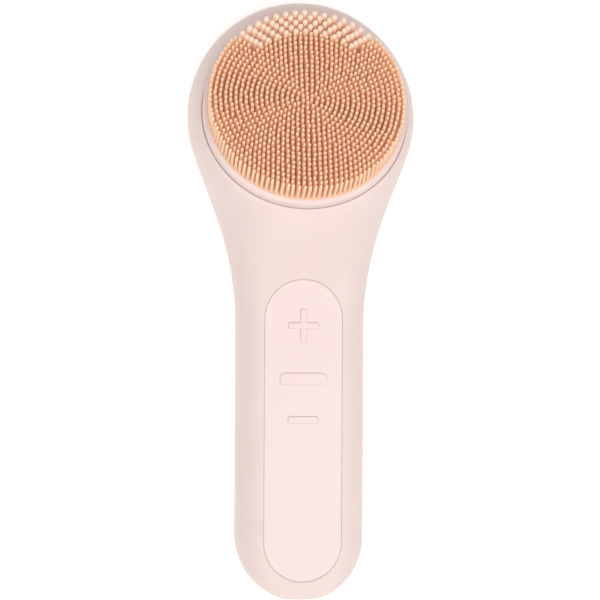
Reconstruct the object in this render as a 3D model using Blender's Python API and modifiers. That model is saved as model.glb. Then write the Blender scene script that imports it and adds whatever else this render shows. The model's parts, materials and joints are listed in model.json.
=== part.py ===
"""Facial cleansing brush: a two-part handle with three keys and a pull-off, oscillating silicone brush head.

The brush lies on its back. +Y runs from the end of the handle to the top of the head, +Z points out of the
front, and the origin is under the middle of the body, on the surface that it lies on. Lengths are metres.
"""

from math import asin, cos, pi, radians, sin, sqrt, tan

import bmesh
import bpy
from mathutils import Matrix, Vector

MM = 0.001

# Outline seen from the front
HANDLE_HALF_WIDTH = 18.15 * MM
HANDLE_END_Y = -85.0 * MM
HEAD_HALF_WIDTH = 32.15 * MM
HEAD_CENTRE_Y = 52.3 * MM
HEAD_TOP_Y = 85.0 * MM
TAPER_ANGLE = radians(20.3)
NECK_FILLET = 90.0 * MM

# Side view
WIDEST_Z = 13.0 * MM
HANDLE_FRONT_Z = 28.5 * MM
FRONT_CROWN = 1.5 * MM
BACK_CROWN = 1.2 * MM
NECK_START_Y = 1.0 * MM
FRONT_END_ROUND = 5.0 * MM
BACK_END_ROUND = 12.0 * MM
HEAD_BACK_ROUND = 27.0 * MM
EDGE_BLEND = 1.2 * MM
HANDLE_SECTION_POWER = 3.0
HEAD_SECTION_POWER = 2.5
BACK_SECTION_POWER = 2.6

# Brush head: distances along its axis count from the plane of its rim
PAD_CENTRE = Vector((0.0, 52.4 * MM, 27.5 * MM))
PAD_TILT = radians(20.0)
PAD_RADIUS = 28.5 * MM
PAD_TOP = 3.0 * MM
PAD_SKIRT_DEPTH = 3.3 * MM
CARRIER_RADIUS = 27.2 * MM
BRISTLE_FIELD_RADIUS = 27.4 * MM
BRISTLE_TIP = 10.9 * MM
POCKET_DEPTH = 4.2 * MM
POCKET_FLOOR = 1.8 * MM
LIP_RADIUS = 29.7 * MM
HUB_HOLE_RADIUS = 7.0 * MM

# Shells
WALL = 2.4 * MM
PARTING_Z = 10.8 * MM
GAP = 0.3 * MM
GASKET_RADIUS = 0.35 * MM
HANDLE_FRONT_WALL = 4.8 * MM
HOLLOW_TOP_Y = 74.0 * MM

# Control panel and keys
PANEL_HALF_WIDTH = 10.9 * MM
PANEL_TOP_Y = 6.0 * MM
PANEL_END_Y = -78.4 * MM
PANEL_FRONT_Z = 28.4 * MM
PANEL_BACK_Z = 27.2 * MM
RECESS_FLOOR_Z = 25.3 * MM
KEY_FRONT_Z = 28.9 * MM
KEY_BASE_Z = (26.1 * MM, 26.9 * MM)
KEY_BASE_MARGIN = 1.0 * MM
KEY_BASE_MIN_HEIGHT = 6.4 * MM
KEY_BASE_CORNER = 1.5 * MM
KEY_CAP_OVERLAP = 0.4 * MM
KEY_STEM_RADIUS = 2.5 * MM
KEY_STEM_END_Z = 24.7 * MM
PLUNGER_RADIUS = 1.45 * MM
PLUNGER_Z = (22.1 * MM, 24.4 * MM)
SWITCH_Z = (20.8 * MM, 23.2 * MM)
SWITCH_WIDTH = 6.0 * MM
SWITCH_BORE_FLOOR_Z = 21.3 * MM

# Circuit board, battery and cradle
BOARD_Z = (19.3 * MM, 20.5 * MM)
BOARD_Y = (-67.0 * MM, 12.0 * MM)
BOARD_HALF_WIDTH = 9.5 * MM
BATTERY_RADIUS = 7.1 * MM
BATTERY_Y = (-60.0 * MM, -10.0 * MM)
BATTERY_Z = 11.2 * MM
CRADLE_Y = (-66.0 * MM, 10.0 * MM)
CRADLE_POCKET_Y = (-61.0 * MM, -9.0 * MM)
CRADLE_TOP_Z = 19.0 * MM
CRADLE_WALL = 1.0 * MM
CONTACT_THICKNESS = 0.3 * MM
CONTACT_HALF_WIDTH = 4.0 * MM
CELL_NUB_RADIUS = 2.4 * MM
CELL_NUB_HEIGHT = 0.2 * MM
CHIP_HALF_WIDTH = 3.5 * MM
CHIP_Y = (-52.0 * MM, -45.0 * MM)
CHIP_HEIGHT = 1.2 * MM
BOARD_SCREW_LENGTH = 6.0 * MM
SCREW_RADIUS = 0.9 * MM
SCREW_HEAD_RADIUS = 1.7 * MM
SCREW_HEAD_HEIGHT = 1.2 * MM
BOARD_SCREW_Y = (-63.5 * MM, 7.0 * MM)

# Motor, along the head's axis
CAN_RADIUS = 12.3 * MM
SHAFT_RADIUS = 1.5 * MM
BRACKET_SCREW_RADIUS = 16.2 * MM

# Charging contacts
CHARGE_Y = -69.5 * MM
CHARGE_PIN_X = 3.0 * MM
CHARGE_PIN_RADIUS = 1.2 * MM
CHARGE_MAGNET_X = 7.0 * MM
CHARGE_MAGNET_RADIUS = 1.9 * MM
CHARGE_MAGNET_HEIGHT = 2.0 * MM
CHARGE_BLOCK_HALF_SIZE = (9.4 * MM, 3.1 * MM)
CHARGE_BLOCK_Z = (3.2 * MM, 6.5 * MM)

# Leads: their places across, and their routes along and up
LEAD_RADIUS = 0.45 * MM
BATTERY_LEAD_X = 10.4 * MM
BATTERY_LEAD_ROUTE = (
    (-60.6 * MM, 13.5 * MM), (-61.8 * MM, 15.5 * MM), (-62.9 * MM, 17.0 * MM),
    (-63.9 * MM, 18.6 * MM), (-64.6 * MM, 20.3 * MM), (-64.3 * MM, 22.0 * MM),
)
MOTOR_LEAD_X = 3.0 * MM
MOTOR_LEAD_ROUTE = (
    (13.2 * MM, 20.4 * MM), (16.0 * MM, 20.2 * MM), (19.0 * MM, 19.6 * MM), (23.0 * MM, 18.8 * MM),
    (27.0 * MM, 18.3 * MM), (31.0 * MM, 18.0 * MM), (34.0 * MM, 17.9 * MM),
)

# Points on each side of a section of the body: back, side and front
OUTER_SIDE_POINTS = (7, 5, 6)
INNER_SIDE_POINTS = (6, 4, 5)
# Steps along the body: handle end, neck and half the head
OUTER_STEPS = (7, 6, 7)
INNER_STEPS = (5, 5, 6)
LARGEST_EDGE_ANGLE = radians(76)
CUT_MARGIN = 20.0 * MM
BEYOND_BODY = 120.0 * MM

KEYS = (
    {
        "name": "plus", "y": -6.85 * MM, "corner": 0.5 * MM,
        "strokes": ((8.6 * MM, 1.8 * MM), (1.8 * MM, 9.4 * MM)),
    },
    {"name": "power", "y": -21.75 * MM, "corner": 1.7 * MM, "strokes": ((13.3 * MM, 3.4 * MM),)},
    {"name": "minus", "y": -33.2 * MM, "corner": 0.6 * MM, "strokes": ((8.6 * MM, 2.0 * MM),)},
)

SKIN = ("blush_silicone", (0.85, 0.72, 0.68), 0.55, 0.0)
PANEL_SKIN = ("panel_silicone", (0.89, 0.76, 0.74), 0.5, 0.0)
BRISTLE_SILICONE = ("peach_silicone", (0.95, 0.58, 0.40), 0.45, 0.0)
WHITE_ABS = ("white_abs", (0.80, 0.79, 0.76), 0.45, 0.0)
GREY_ABS = ("grey_abs", (0.30, 0.31, 0.32), 0.5, 0.0)
BLACK_RUBBER = ("black_rubber", (0.03, 0.03, 0.03), 0.7, 0.0)
STEEL = ("steel", (0.56, 0.57, 0.58), 0.3, 1.0)
MAGNET = ("nickel_magnet", (0.45, 0.44, 0.42), 0.25, 1.0)
COPPER = ("copper_wire", (0.72, 0.35, 0.18), 0.35, 1.0)
BRASS = ("gilt_brass", (0.85, 0.62, 0.25), 0.25, 1.0)
BOARD_GREEN = ("board_green", (0.03, 0.20, 0.09), 0.4, 0.0)
CHIP_BLACK = ("chip_black", (0.02, 0.02, 0.02), 0.5, 0.0)
CELL_WRAP = ("cell_wrap", (0.10, 0.22, 0.45), 0.35, 0.0)
RED_LEAD = ("red_lead", (0.55, 0.03, 0.02), 0.45, 0.0)
BLACK_LEAD = ("black_lead", (0.02, 0.02, 0.02), 0.45, 0.0)


# Scene and object helpers

def clear_scene():
    for found in list(bpy.data.objects):
        bpy.data.objects.remove(found, do_unlink=True)


def new_collection(name, cutters=False):
    made = bpy.data.collections.new(name)
    made.hide_render = cutters
    bpy.context.scene.collection.children.link(made)
    return made


def material(finish):
    name, colour, roughness, metallic = finish
    found = bpy.data.materials.get(name)
    if found:
        return found
    made = bpy.data.materials.new(name)
    made.use_nodes = True
    shader = made.node_tree.nodes["Principled BSDF"]
    shader.inputs["Base Color"].default_value = (*colour, 1.0)
    shader.inputs["Roughness"].default_value = roughness
    shader.inputs["Metallic"].default_value = metallic
    return made


def add_object(name, mesh, finish, parent=None):
    """Links a mesh as a visible part, shaded smooth with sharp edges kept."""
    part = bpy.data.objects.new(name, mesh)
    PARTS.objects.link(part)
    if finish:
        mesh.materials.append(material(finish))
    mesh.shade_smooth()
    mesh.set_sharp_from_angle(angle=radians(35))
    part.parent = parent
    return part


def as_cutter(part):
    """Moves an object to the cutters, where it is drawn as a wire and left out of the part."""
    PARTS.objects.unlink(part)
    CUTTERS.objects.link(part)
    part.hide_render = True
    part.display_type = "WIRE"
    return part


def boolean(part, other, operation="DIFFERENCE"):
    modifier = part.modifiers.new(other.name, "BOOLEAN")
    modifier.operation = operation
    modifier.solver = "EXACT"
    modifier.object = other
    return part


def add_empty(name, location, tilt):
    empty = bpy.data.objects.new(name, None)
    PARTS.objects.link(empty)
    empty.location = location
    empty.rotation_euler = (tilt, 0, 0)
    return empty


# Shape helpers

def mesh_from(name, build):
    """A mesh made by a function that fills an empty bmesh."""
    grid = bmesh.new()
    build(grid)
    bmesh.ops.recalc_face_normals(grid, faces=grid.faces)
    mesh = bpy.data.meshes.new(name)
    grid.to_mesh(mesh)
    grid.free()
    return mesh


def loft(name, rings, finish=None):
    """A closed solid through equal rings of points, for the body whose section changes all the way."""
    def build(grid):
        made = [[grid.verts.new(point) for point in ring] for ring in rings]
        count = len(made[0])
        for lower, upper in zip(made, made[1:]):
            for i in range(count):
                j = (i + 1) % count
                grid.faces.new((lower[i], lower[j], upper[j], upper[i]))
        grid.faces.new(made[0])
        grid.faces.new(made[-1])
    return add_object(name, mesh_from(name, build), finish)


def box(name, low, high, finish=None):
    def build(grid):
        size = Vector(high) - Vector(low)
        middle = (Vector(high) + Vector(low)) / 2
        bmesh.ops.create_cube(grid, size=1.0, matrix=Matrix.LocRotScale(middle, None, size))
    return add_object(name, mesh_from(name, build), finish)


def cylinder(name, radius, low, high, finish=None, at=(0, 0), parent=None, segments=24, along="Z"):
    """A cylinder between two heights; at is its centre, and along picks its direction."""
    def build(grid):
        middle = Matrix.Translation((at[0], at[1], (low + high) / 2))
        bmesh.ops.create_cone(
            grid, cap_ends=True, segments=segments, radius1=radius, radius2=radius,
            depth=high - low, matrix=middle,
        )
        if along == "Y":
            turn = Matrix.Rotation(-pi / 2, 4, "X")
            bmesh.ops.transform(grid, matrix=turn, verts=grid.verts)
    return add_object(name, mesh_from(name, build), finish, parent)


def turned(name, profile, finish=None, parent=None, steps=48, ring=False):
    """A turned part from (radius, height) points that run down its outer side; a ring's profile is closed."""
    mesh = bpy.data.meshes.new(name)
    count = len(profile)
    edges = [(i, i + 1) for i in range(count - 1)]
    if ring:
        edges.append((count - 1, 0))
    mesh.from_pydata([(radius, 0, height) for radius, height in profile], edges, [])
    part = add_object(name, mesh, finish, parent)
    screw = part.modifiers.new("turn", "SCREW")
    screw.steps = steps
    screw.render_steps = steps
    screw.use_merge_vertices = True
    screw.merge_threshold = 0.00001
    return part


def tube_ring(name, inner, outer, low, high, finish, parent, steps=32):
    """A plain ring of rectangular section."""
    profile = [(inner, high), (outer, high), (outer, low), (inner, low)]
    return turned(name, profile, finish, parent, steps, ring=True)


def curve_mesh(name, points, finish, bevel=0.0, extrude=0.0, closed=False, flat=False, at_z=0.0):
    """A mesh made from a poly curve: a filled flat outline with thickness, or a round wire."""
    curve = bpy.data.curves.new(name, "CURVE")
    curve.dimensions = "2D" if flat else "3D"
    curve.fill_mode = "BOTH" if flat else "FULL"
    curve.bevel_depth = bevel
    curve.bevel_resolution = 1
    curve.use_fill_caps = not closed
    curve.extrude = extrude
    spline = curve.splines.new("POLY")
    spline.points.add(len(points) - 1)
    for target, point in zip(spline.points, points):
        target.co = (*point, *([0.0] * (3 - len(point))), 1.0)
    spline.use_cyclic_u = closed or flat
    drawn = bpy.data.objects.new(name + "_curve", curve)
    PARTS.objects.link(drawn)
    drawn.location.z = at_z
    bpy.context.view_layer.update()
    evaluated = drawn.evaluated_get(bpy.context.evaluated_depsgraph_get())
    mesh = bpy.data.meshes.new_from_object(evaluated)
    mesh.transform(drawn.matrix_world)
    grid = bmesh.new()
    grid.from_mesh(mesh)
    bmesh.ops.remove_doubles(grid, verts=grid.verts, dist=0.000001)
    bmesh.ops.recalc_face_normals(grid, faces=grid.faces)
    grid.to_mesh(mesh)
    grid.free()
    bpy.data.objects.remove(drawn, do_unlink=True)
    mesh.materials.clear()
    return add_object(name, mesh, finish)


def plate(name, outline, low, high, finish=None):
    """A flat outline with thickness between two heights."""
    return curve_mesh(
        name, outline, finish, extrude=(high - low) / 2, flat=True, at_z=(low + high) / 2
    )


def rounded_slot(width, height, centre_y, radius, corner_steps=8):
    """The outline of a rectangle with round corners, anticlockwise."""
    points = []
    for corner, (side_x, side_y) in enumerate(((1, -1), (1, 1), (-1, 1), (-1, -1))):
        middle_x = side_x * (width / 2 - radius)
        middle_y = centre_y + side_y * (height / 2 - radius)
        for step in range(corner_steps + 1):
            angle = (corner - 1) * pi / 2 + step * pi / 2 / corner_steps
            points.append((middle_x + radius * cos(angle), middle_y + radius * sin(angle)))
    return points


# The body's form

def smoothstep(value, low, high):
    share = min(max((value - low) / (high - low), 0.0), 1.0)
    return share * share * (3 - 2 * share)


def soft_min(first, second, blend=EDGE_BLEND):
    """The lower of two heights, rounded where they cross."""
    near = max(blend - abs(first - second), 0.0)
    return min(first, second) - near * near / (4 * blend)


def half_width(y, inset=0.0):
    """Half the body's width: end arc, straight handle, fillet, straight taper, head circle."""
    handle = HANDLE_HALF_WIDTH - inset
    head = HEAD_HALF_WIDTH - inset
    end_centre = HANDLE_END_Y + HANDLE_HALF_WIDTH
    if y < end_centre:
        return sqrt(max(handle ** 2 - (end_centre - y) ** 2, 0.0))
    if y > HEAD_CENTRE_Y:
        share = (y - HEAD_CENTRE_Y) / (HEAD_TOP_Y - HEAD_CENTRE_Y - inset)
        return head * sqrt(max(1 - share ** 2, 0.0))
    if y > HEAD_CENTRE_Y - head * sin(TAPER_ANGLE):
        return sqrt(head ** 2 - (y - HEAD_CENTRE_Y) ** 2)
    fillet = NECK_FILLET + inset
    corner_y = HEAD_CENTRE_Y - (head / cos(TAPER_ANGLE) - handle) / tan(TAPER_ANGLE)
    fillet_start = corner_y - fillet * tan(TAPER_ANGLE / 2)
    if y > fillet_start + fillet * sin(TAPER_ANGLE):
        return head / cos(TAPER_ANGLE) - (HEAD_CENTRE_Y - y) * tan(TAPER_ANGLE)
    if y > fillet_start:
        return handle + fillet - sqrt(fillet ** 2 - (y - fillet_start) ** 2)
    return handle


def rim_plane(y):
    """The height of the plane of the brush head's rim."""
    return PAD_CENTRE.z - (y - PAD_CENTRE.y) * tan(PAD_TILT)


def front_limit(y, inset=0.0):
    """The front surface on the middle line: flat handle, rise of the neck, tilted head, round top."""
    lip_low = PAD_CENTRE.y - LIP_RADIUS * cos(PAD_TILT)
    lip_high = PAD_CENTRE.y + LIP_RADIUS * cos(PAD_TILT)
    inner = inset > 0
    handle = HANDLE_FRONT_Z - (HANDLE_FRONT_WALL if inner else 0.0)
    drop = (POCKET_DEPTH + POCKET_FLOOR) / cos(PAD_TILT) if inner else 0.0
    if y < lip_low:
        rise = smoothstep(y, NECK_START_Y, lip_low)
        return handle + (rim_plane(lip_low) - drop - handle) * rise
    if y < lip_high or inner:
        return rim_plane(y) - drop
    share = (y - lip_high) / (HEAD_TOP_Y - lip_high)
    return WIDEST_Z + (rim_plane(lip_high) - WIDEST_Z) * sqrt(max(1 - share ** 2, 0.0))


def front_power(y):
    head_share = smoothstep(y, 0.0, PAD_CENTRE.y - LIP_RADIUS * cos(PAD_TILT))
    return HANDLE_SECTION_POWER + (HEAD_SECTION_POWER - HANDLE_SECTION_POWER) * head_share


def front_crown(y):
    """The height that the section would reach uncut: its sides pass through the edge of the round lip."""
    power = front_power(y)
    across = max(LIP_RADIUS ** 2 - ((y - PAD_CENTRE.y) / cos(PAD_TILT)) ** 2, 0.0)
    chord_share = min(sqrt(across) / max(half_width(y), 0.001), 0.97)
    reach = (1 - chord_share ** power) ** (1 / power)
    handle_share = 1 - smoothstep(y, NECK_START_Y, PAD_CENTRE.y - LIP_RADIUS * cos(PAD_TILT))
    return WIDEST_Z + (front_limit(y) - WIDEST_Z) / reach + FRONT_CROWN * handle_share


def end_share(y, start, length):
    """How far a height is from closing at an end: 1 on the body, falling to 0 along a quarter ellipse."""
    past = max((start - y) if length > 0 else (y - start), 0.0)
    return sqrt(max(1 - (past / abs(length)) ** 2, 0.0))


def section_angles(edge, count):
    """Angles up the right side, from the back to the front, with one on the edge of the flat front."""
    back, side, top = count
    angles = [-pi / 2 + pi / 2 * (i + 0.5) / back for i in range(back)]
    angles += [edge * i / side for i in range(side)]
    return angles + [edge + (pi / 2 - edge) * (i + 0.4) / top for i in range(top)]


def section(y, inset, count):
    """One closed ring of the body at y: a squared ellipse, flattened by the front and back planes."""
    width = half_width(y, inset)
    end_y = HANDLE_END_Y + inset
    front_end = end_share(y, end_y + FRONT_END_ROUND - inset, FRONT_END_ROUND - inset)
    back_end = end_share(y, end_y + BACK_END_ROUND - inset, BACK_END_ROUND - inset)
    head_back = end_share(y, HEAD_TOP_Y - HEAD_BACK_ROUND, inset - HEAD_BACK_ROUND)
    front = (front_crown(y) - inset - WIDEST_Z) * front_end
    limit = WIDEST_Z + (front_limit(y, inset) - WIDEST_Z) * front_end
    back = (WIDEST_Z + BACK_CROWN - inset) * back_end * head_back
    floor = WIDEST_Z - (WIDEST_Z - inset) * back_end * head_back
    power = front_power(y)
    edge_share = min(max((limit - WIDEST_Z) / front, 0.0), 1.0) if front > 0 else 1.0
    edge = min(asin(edge_share ** (power / 2)), LARGEST_EDGE_ANGLE)
    points = []
    for angle in section_angles(edge, count):
        across = width * abs(cos(angle)) ** (2 / (power if angle > 0 else BACK_SECTION_POWER))
        if angle > 0:
            height = soft_min(WIDEST_Z + front * sin(angle) ** (2 / power), limit)
        else:
            height = -soft_min(back * abs(sin(angle)) ** (2 / BACK_SECTION_POWER) - WIDEST_Z, -floor)
        points.append((across, height))
    return [(x, y, z) for x, z in points] + [(-x, y, z) for x, z in reversed(points)]


def stations(inset, end_steps, neck_steps, head_steps):
    """Where the rings stand along the body, closer together where the outline curves."""
    end_centre = HANDLE_END_Y + HANDLE_HALF_WIDTH
    end_length = HANDLE_HALF_WIDTH - inset
    closing = radians(85)
    lip = LIP_RADIUS * cos(PAD_TILT)
    places = [end_centre - end_length * sin(closing * (1 - i / end_steps)) for i in range(end_steps)]
    places += [end_centre, -45 * MM, -20 * MM]
    places += [-6 * MM + (PAD_CENTRE.y - lip + 6 * MM) * i / neck_steps for i in range(neck_steps)]
    places += [PAD_CENTRE.y - lip * cos(pi * i / (2 * head_steps)) for i in range(2 * head_steps + 1)]
    top = HEAD_TOP_Y - inset - places[-1]
    return places + [places[-1] + top * share for share in (0.35, 0.65, 0.87, 0.98)]


def body_solid(name, inset, count, places, finish=None):
    return loft(name, [section(y, inset, count) for y in places], finish)


def planform(inset):
    """The body's outline as seen from the front, inset by a distance."""
    right = [(half_width(y, inset), y) for y in stations(inset, 7, 5, 7)]
    return right + [(-x, y) for x, y in reversed(right)]


# The assembly

def gasket_groove():
    points = [(x, y, PARTING_Z) for x, y in planform(WALL / 2)]
    groove = curve_mesh("gasket_groove", points, None, bevel=GASKET_RADIUS + GAP, closed=True)
    return as_cutter(groove)


def build_shells(pad_axis):
    """The front and rear shells: the outer form less the hollow, the pocket, the recess and every hole."""
    front = body_solid("front_shell", 0.0, OUTER_SIDE_POINTS, stations(0.0, *OUTER_STEPS), SKIN)
    rear = body_solid("rear_shell", 0.0, OUTER_SIDE_POINTS, stations(0.0, *OUTER_STEPS), SKIN)
    hollow_places = [y for y in stations(WALL, *INNER_STEPS) if y < HOLLOW_TOP_Y] + [HOLLOW_TOP_Y]
    hollow = as_cutter(body_solid("hollow", WALL, INNER_SIDE_POINTS, hollow_places))
    far = BEYOND_BODY
    below = as_cutter(box("below_parting", (-far, -far, -far), (far, far, PARTING_Z + GAP / 2)))
    above = as_cutter(box("above_parting", (-far, -far, PARTING_Z - GAP / 2), (far, far, far)))
    groove = gasket_groove()
    pocket = as_cutter(
        cylinder("head_pocket", PAD_RADIUS + GAP, -POCKET_DEPTH, CUT_MARGIN, parent=pad_axis, segments=64)
    )
    hub_hole = as_cutter(
        cylinder("hub_hole", HUB_HOLE_RADIUS, -CUT_MARGIN / 2, 0.0, parent=pad_axis, segments=32)
    )
    recess_length = PANEL_TOP_Y - PANEL_END_Y + 2 * GAP
    recess_middle = (PANEL_TOP_Y + PANEL_END_Y) / 2
    recess_width = 2 * (PANEL_HALF_WIDTH + GAP)
    recess_outline = rounded_slot(recess_width, recess_length, recess_middle, recess_width / 2 - 1e-5, 10)
    recess = as_cutter(plate("panel_recess", recess_outline, RECESS_FLOOR_Z, RECESS_FLOOR_Z + CUT_MARGIN))
    front_cutters = [below, hollow, groove, pocket, hub_hole, recess]
    for key in KEYS:
        stem_hole = cylinder(
            key["name"] + "_stem_hole", KEY_STEM_RADIUS + 2 * GAP, SWITCH_Z[1], KEY_FRONT_Z, at=(0, key["y"])
        )
        front_cutters.append(as_cutter(stem_hole))
    for index in range(3):
        hole = cylinder(
            f"bracket_hole_{index + 1}", SCREW_RADIUS + GAP, -10 * MM, -4.9 * MM,
            at=bracket_screw_place(index), parent=pad_axis, segments=12,
        )
        front_cutters.append(as_cutter(hole))
    for cutter in front_cutters:
        boolean(front, cutter)
    rear_cutters = [above, hollow, groove]
    for side in (-1, 1):
        hole = cylinder(
            f"pin_hole_{side}", CHARGE_PIN_RADIUS + GAP, -WALL, 2 * WALL,
            at=(side * CHARGE_PIN_X, CHARGE_Y), segments=16,
        )
        rear_cutters.append(as_cutter(hole))
    for cutter in rear_cutters:
        boolean(rear, cutter)
    points = [(x, y, PARTING_Z) for x, y in planform(WALL / 2)]
    curve_mesh("shell_gasket", points, BLACK_RUBBER, bevel=GASKET_RADIUS, closed=True)


def key_outlines(key, inset):
    """The strokes of a key's sign, as in the panel's opening, less an inset all round."""
    outlines = []
    for width, height in key["strokes"]:
        inner_width, inner_height = width - 2 * inset, height - 2 * inset
        corner = min(key["corner"], inner_height / 2 - 1e-5, inner_width / 2 - 1e-5)
        outlines.append(rounded_slot(inner_width, inner_height, key["y"], corner, 6))
    return outlines


def build_panel_and_keys():
    middle = (PANEL_TOP_Y + PANEL_END_Y) / 2
    outline = rounded_slot(
        2 * PANEL_HALF_WIDTH, PANEL_TOP_Y - PANEL_END_Y, middle, PANEL_HALF_WIDTH - 1e-5, 12
    )
    panel = plate("control_panel", outline, PANEL_BACK_Z, PANEL_FRONT_Z, PANEL_SKIN)
    for key in KEYS:
        name = key["name"]
        for index, outline in enumerate(key_outlines(key, 0.0)):
            opening = plate(f"{name}_opening_{index + 1}", outline, PANEL_BACK_Z - MM, PANEL_FRONT_Z + MM)
            boolean(panel, as_cutter(opening))
        base_width = max(width for width, _ in key["strokes"]) + 2 * KEY_BASE_MARGIN
        sign_height = max(height for _, height in key["strokes"])
        base_height = max(KEY_BASE_MIN_HEIGHT, sign_height) + 2 * KEY_BASE_MARGIN
        base_outline = rounded_slot(base_width, base_height, key["y"], KEY_BASE_CORNER, 4)
        base = plate(name + "_key", base_outline, *KEY_BASE_Z, PANEL_SKIN)
        for index, outline in enumerate(key_outlines(key, GAP)):
            cap = plate(f"{name}_cap_{index + 1}", outline, KEY_BASE_Z[0] + KEY_CAP_OVERLAP, KEY_FRONT_Z)
            boolean(base, as_cutter(cap), "UNION")
        stem = cylinder(
            name + "_stem", KEY_STEM_RADIUS, KEY_STEM_END_Z, KEY_BASE_Z[1] - 0.3 * MM, at=(0, key["y"])
        )
        boolean(base, as_cutter(stem), "UNION")
        cylinder(name + "_plunger", PLUNGER_RADIUS, *PLUNGER_Z, STEEL, at=(0, key["y"]), segments=16)
        half = SWITCH_WIDTH / 2
        case_low = (-half, key["y"] - half, SWITCH_Z[0])
        case_high = (half, key["y"] + half, SWITCH_Z[1])
        case = box(name + "_switch_case", case_low, case_high, CHIP_BLACK)
        bore = cylinder(
            name + "_switch_bore", PLUNGER_RADIUS + GAP, SWITCH_BORE_FLOOR_Z, SWITCH_Z[1] + MM,
            at=(0, key["y"]),
        )
        boolean(case, as_cutter(bore))


def screw(name, at, head_top, length, parent=None):
    """A pan-head screw whose head is up, at +Z."""
    neck = head_top - SCREW_HEAD_HEIGHT
    profile = [
        (0, head_top), (SCREW_HEAD_RADIUS * 0.7, head_top), (SCREW_HEAD_RADIUS, neck + 0.6 * MM),
        (SCREW_HEAD_RADIUS, neck), (SCREW_RADIUS, neck), (SCREW_RADIUS, neck - length), (0, neck - length),
    ]
    made = turned(name, profile, STEEL, parent, steps=14)
    made.location = (*at, 0)
    return made


def cradle_outline(wall, top):
    """A U seen along the handle: half round under the battery, straight sides up to the board."""
    radius = BATTERY_RADIUS + GAP + wall
    arc = [(radius * cos(pi + pi * i / 12), BATTERY_Z + radius * sin(pi + pi * i / 12)) for i in range(13)]
    return arc + [(radius, top), (-radius, top)]


def extrude_along_handle(name, outline, low, high, finish=None):
    """An outline in X and Z carried along Y."""
    made = curve_mesh(name, outline, finish, extrude=(high - low) / 2, flat=True)
    turn = Matrix.Translation((0, (low + high) / 2, 0)) @ Matrix.Rotation(pi / 2, 4, "X")
    made.data.transform(turn)
    return made


def build_power():
    outer = cradle_outline(CRADLE_WALL, CRADLE_TOP_Z)
    cradle = extrude_along_handle("battery_cradle", outer, *CRADLE_Y, GREY_ABS)
    pocket = extrude_along_handle("battery_pocket", cradle_outline(0.0, CRADLE_TOP_Z + MM), *CRADLE_POCKET_Y)
    boolean(cradle, as_cutter(pocket))
    board_middle = (BOARD_Y[0] + BOARD_Y[1]) / 2
    board_outline = rounded_slot(2 * BOARD_HALF_WIDTH, BOARD_Y[1] - BOARD_Y[0], board_middle, 2 * MM, 3)
    board = plate("circuit_board", board_outline, *BOARD_Z, BOARD_GREEN)
    for index, y in enumerate(BOARD_SCREW_Y):
        hole = cylinder(
            f"board_hole_{index + 1}", SCREW_RADIUS + GAP, BOARD_Z[0] - BOARD_SCREW_LENGTH, BOARD_Z[1] + MM,
            at=(0, y), segments=14,
        )
        as_cutter(hole)
        boolean(board, hole)
        boolean(cradle, hole)
        screw(f"board_screw_{index + 1}", (0, y), BOARD_Z[1] + GAP + SCREW_HEAD_HEIGHT, BOARD_SCREW_LENGTH)
    chip_base = BOARD_Z[1] + GAP
    box(
        "control_chip", (-CHIP_HALF_WIDTH, CHIP_Y[0], chip_base),
        (CHIP_HALF_WIDTH, CHIP_Y[1], chip_base + CHIP_HEIGHT), CHIP_BLACK,
    )
    cell = cylinder(
        "battery_cell", BATTERY_RADIUS, *BATTERY_Y, CELL_WRAP, at=(0, -BATTERY_Z), segments=32, along="Y"
    )
    nub = cylinder(
        "cell_nub", CELL_NUB_RADIUS, BATTERY_Y[1] - MM, BATTERY_Y[1] + CELL_NUB_HEIGHT,
        at=(0, -BATTERY_Z), along="Y",
    )
    boolean(cell, as_cutter(nub), "UNION")
    low = CRADLE_POCKET_Y[0] + GAP
    high = CRADLE_POCKET_Y[1] - GAP - CONTACT_THICKNESS
    reach = CONTACT_HALF_WIDTH
    for name, y in (("contact_negative", low), ("contact_positive", high)):
        box(name, (-reach, y, BATTERY_Z - reach), (reach, y + CONTACT_THICKNESS, CRADLE_TOP_Z - MM), BRASS)


def build_charging():
    """Two pins through the back that meet a charger, and two magnets that hold it."""
    half_x, half_y = CHARGE_BLOCK_HALF_SIZE
    low, top = CHARGE_BLOCK_Z
    block = box(
        "charging_block", (-half_x, CHARGE_Y - half_y, low), (half_x, CHARGE_Y + half_y, top), GREY_ABS
    )
    for word, side in (("left", -1), ("right", 1)):
        place = (side * CHARGE_PIN_X, CHARGE_Y)
        cylinder(f"charge_pin_{word}", CHARGE_PIN_RADIUS, GAP, top + MM, BRASS, at=place, segments=16)
        hole = cylinder(
            f"block_pin_hole_{word}", CHARGE_PIN_RADIUS + GAP, 0.0, top + MM, at=place, segments=16
        )
        boolean(block, as_cutter(hole))
        place = (side * CHARGE_MAGNET_X, CHARGE_Y)
        magnet_top = low + CHARGE_MAGNET_HEIGHT
        cylinder(
            f"charge_magnet_{word}", CHARGE_MAGNET_RADIUS, low, magnet_top, MAGNET, at=place, segments=20
        )
        hole = cylinder(
            f"magnet_hole_{word}", CHARGE_MAGNET_RADIUS + GAP, 0.0, magnet_top + GAP, at=place, segments=20
        )
        boolean(block, as_cutter(hole))


def bracket_screw_place(index):
    angle = pi / 2 + 2 * pi * index / 3
    return (BRACKET_SCREW_RADIUS * cos(angle), BRACKET_SCREW_RADIUS * sin(angle))


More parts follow.
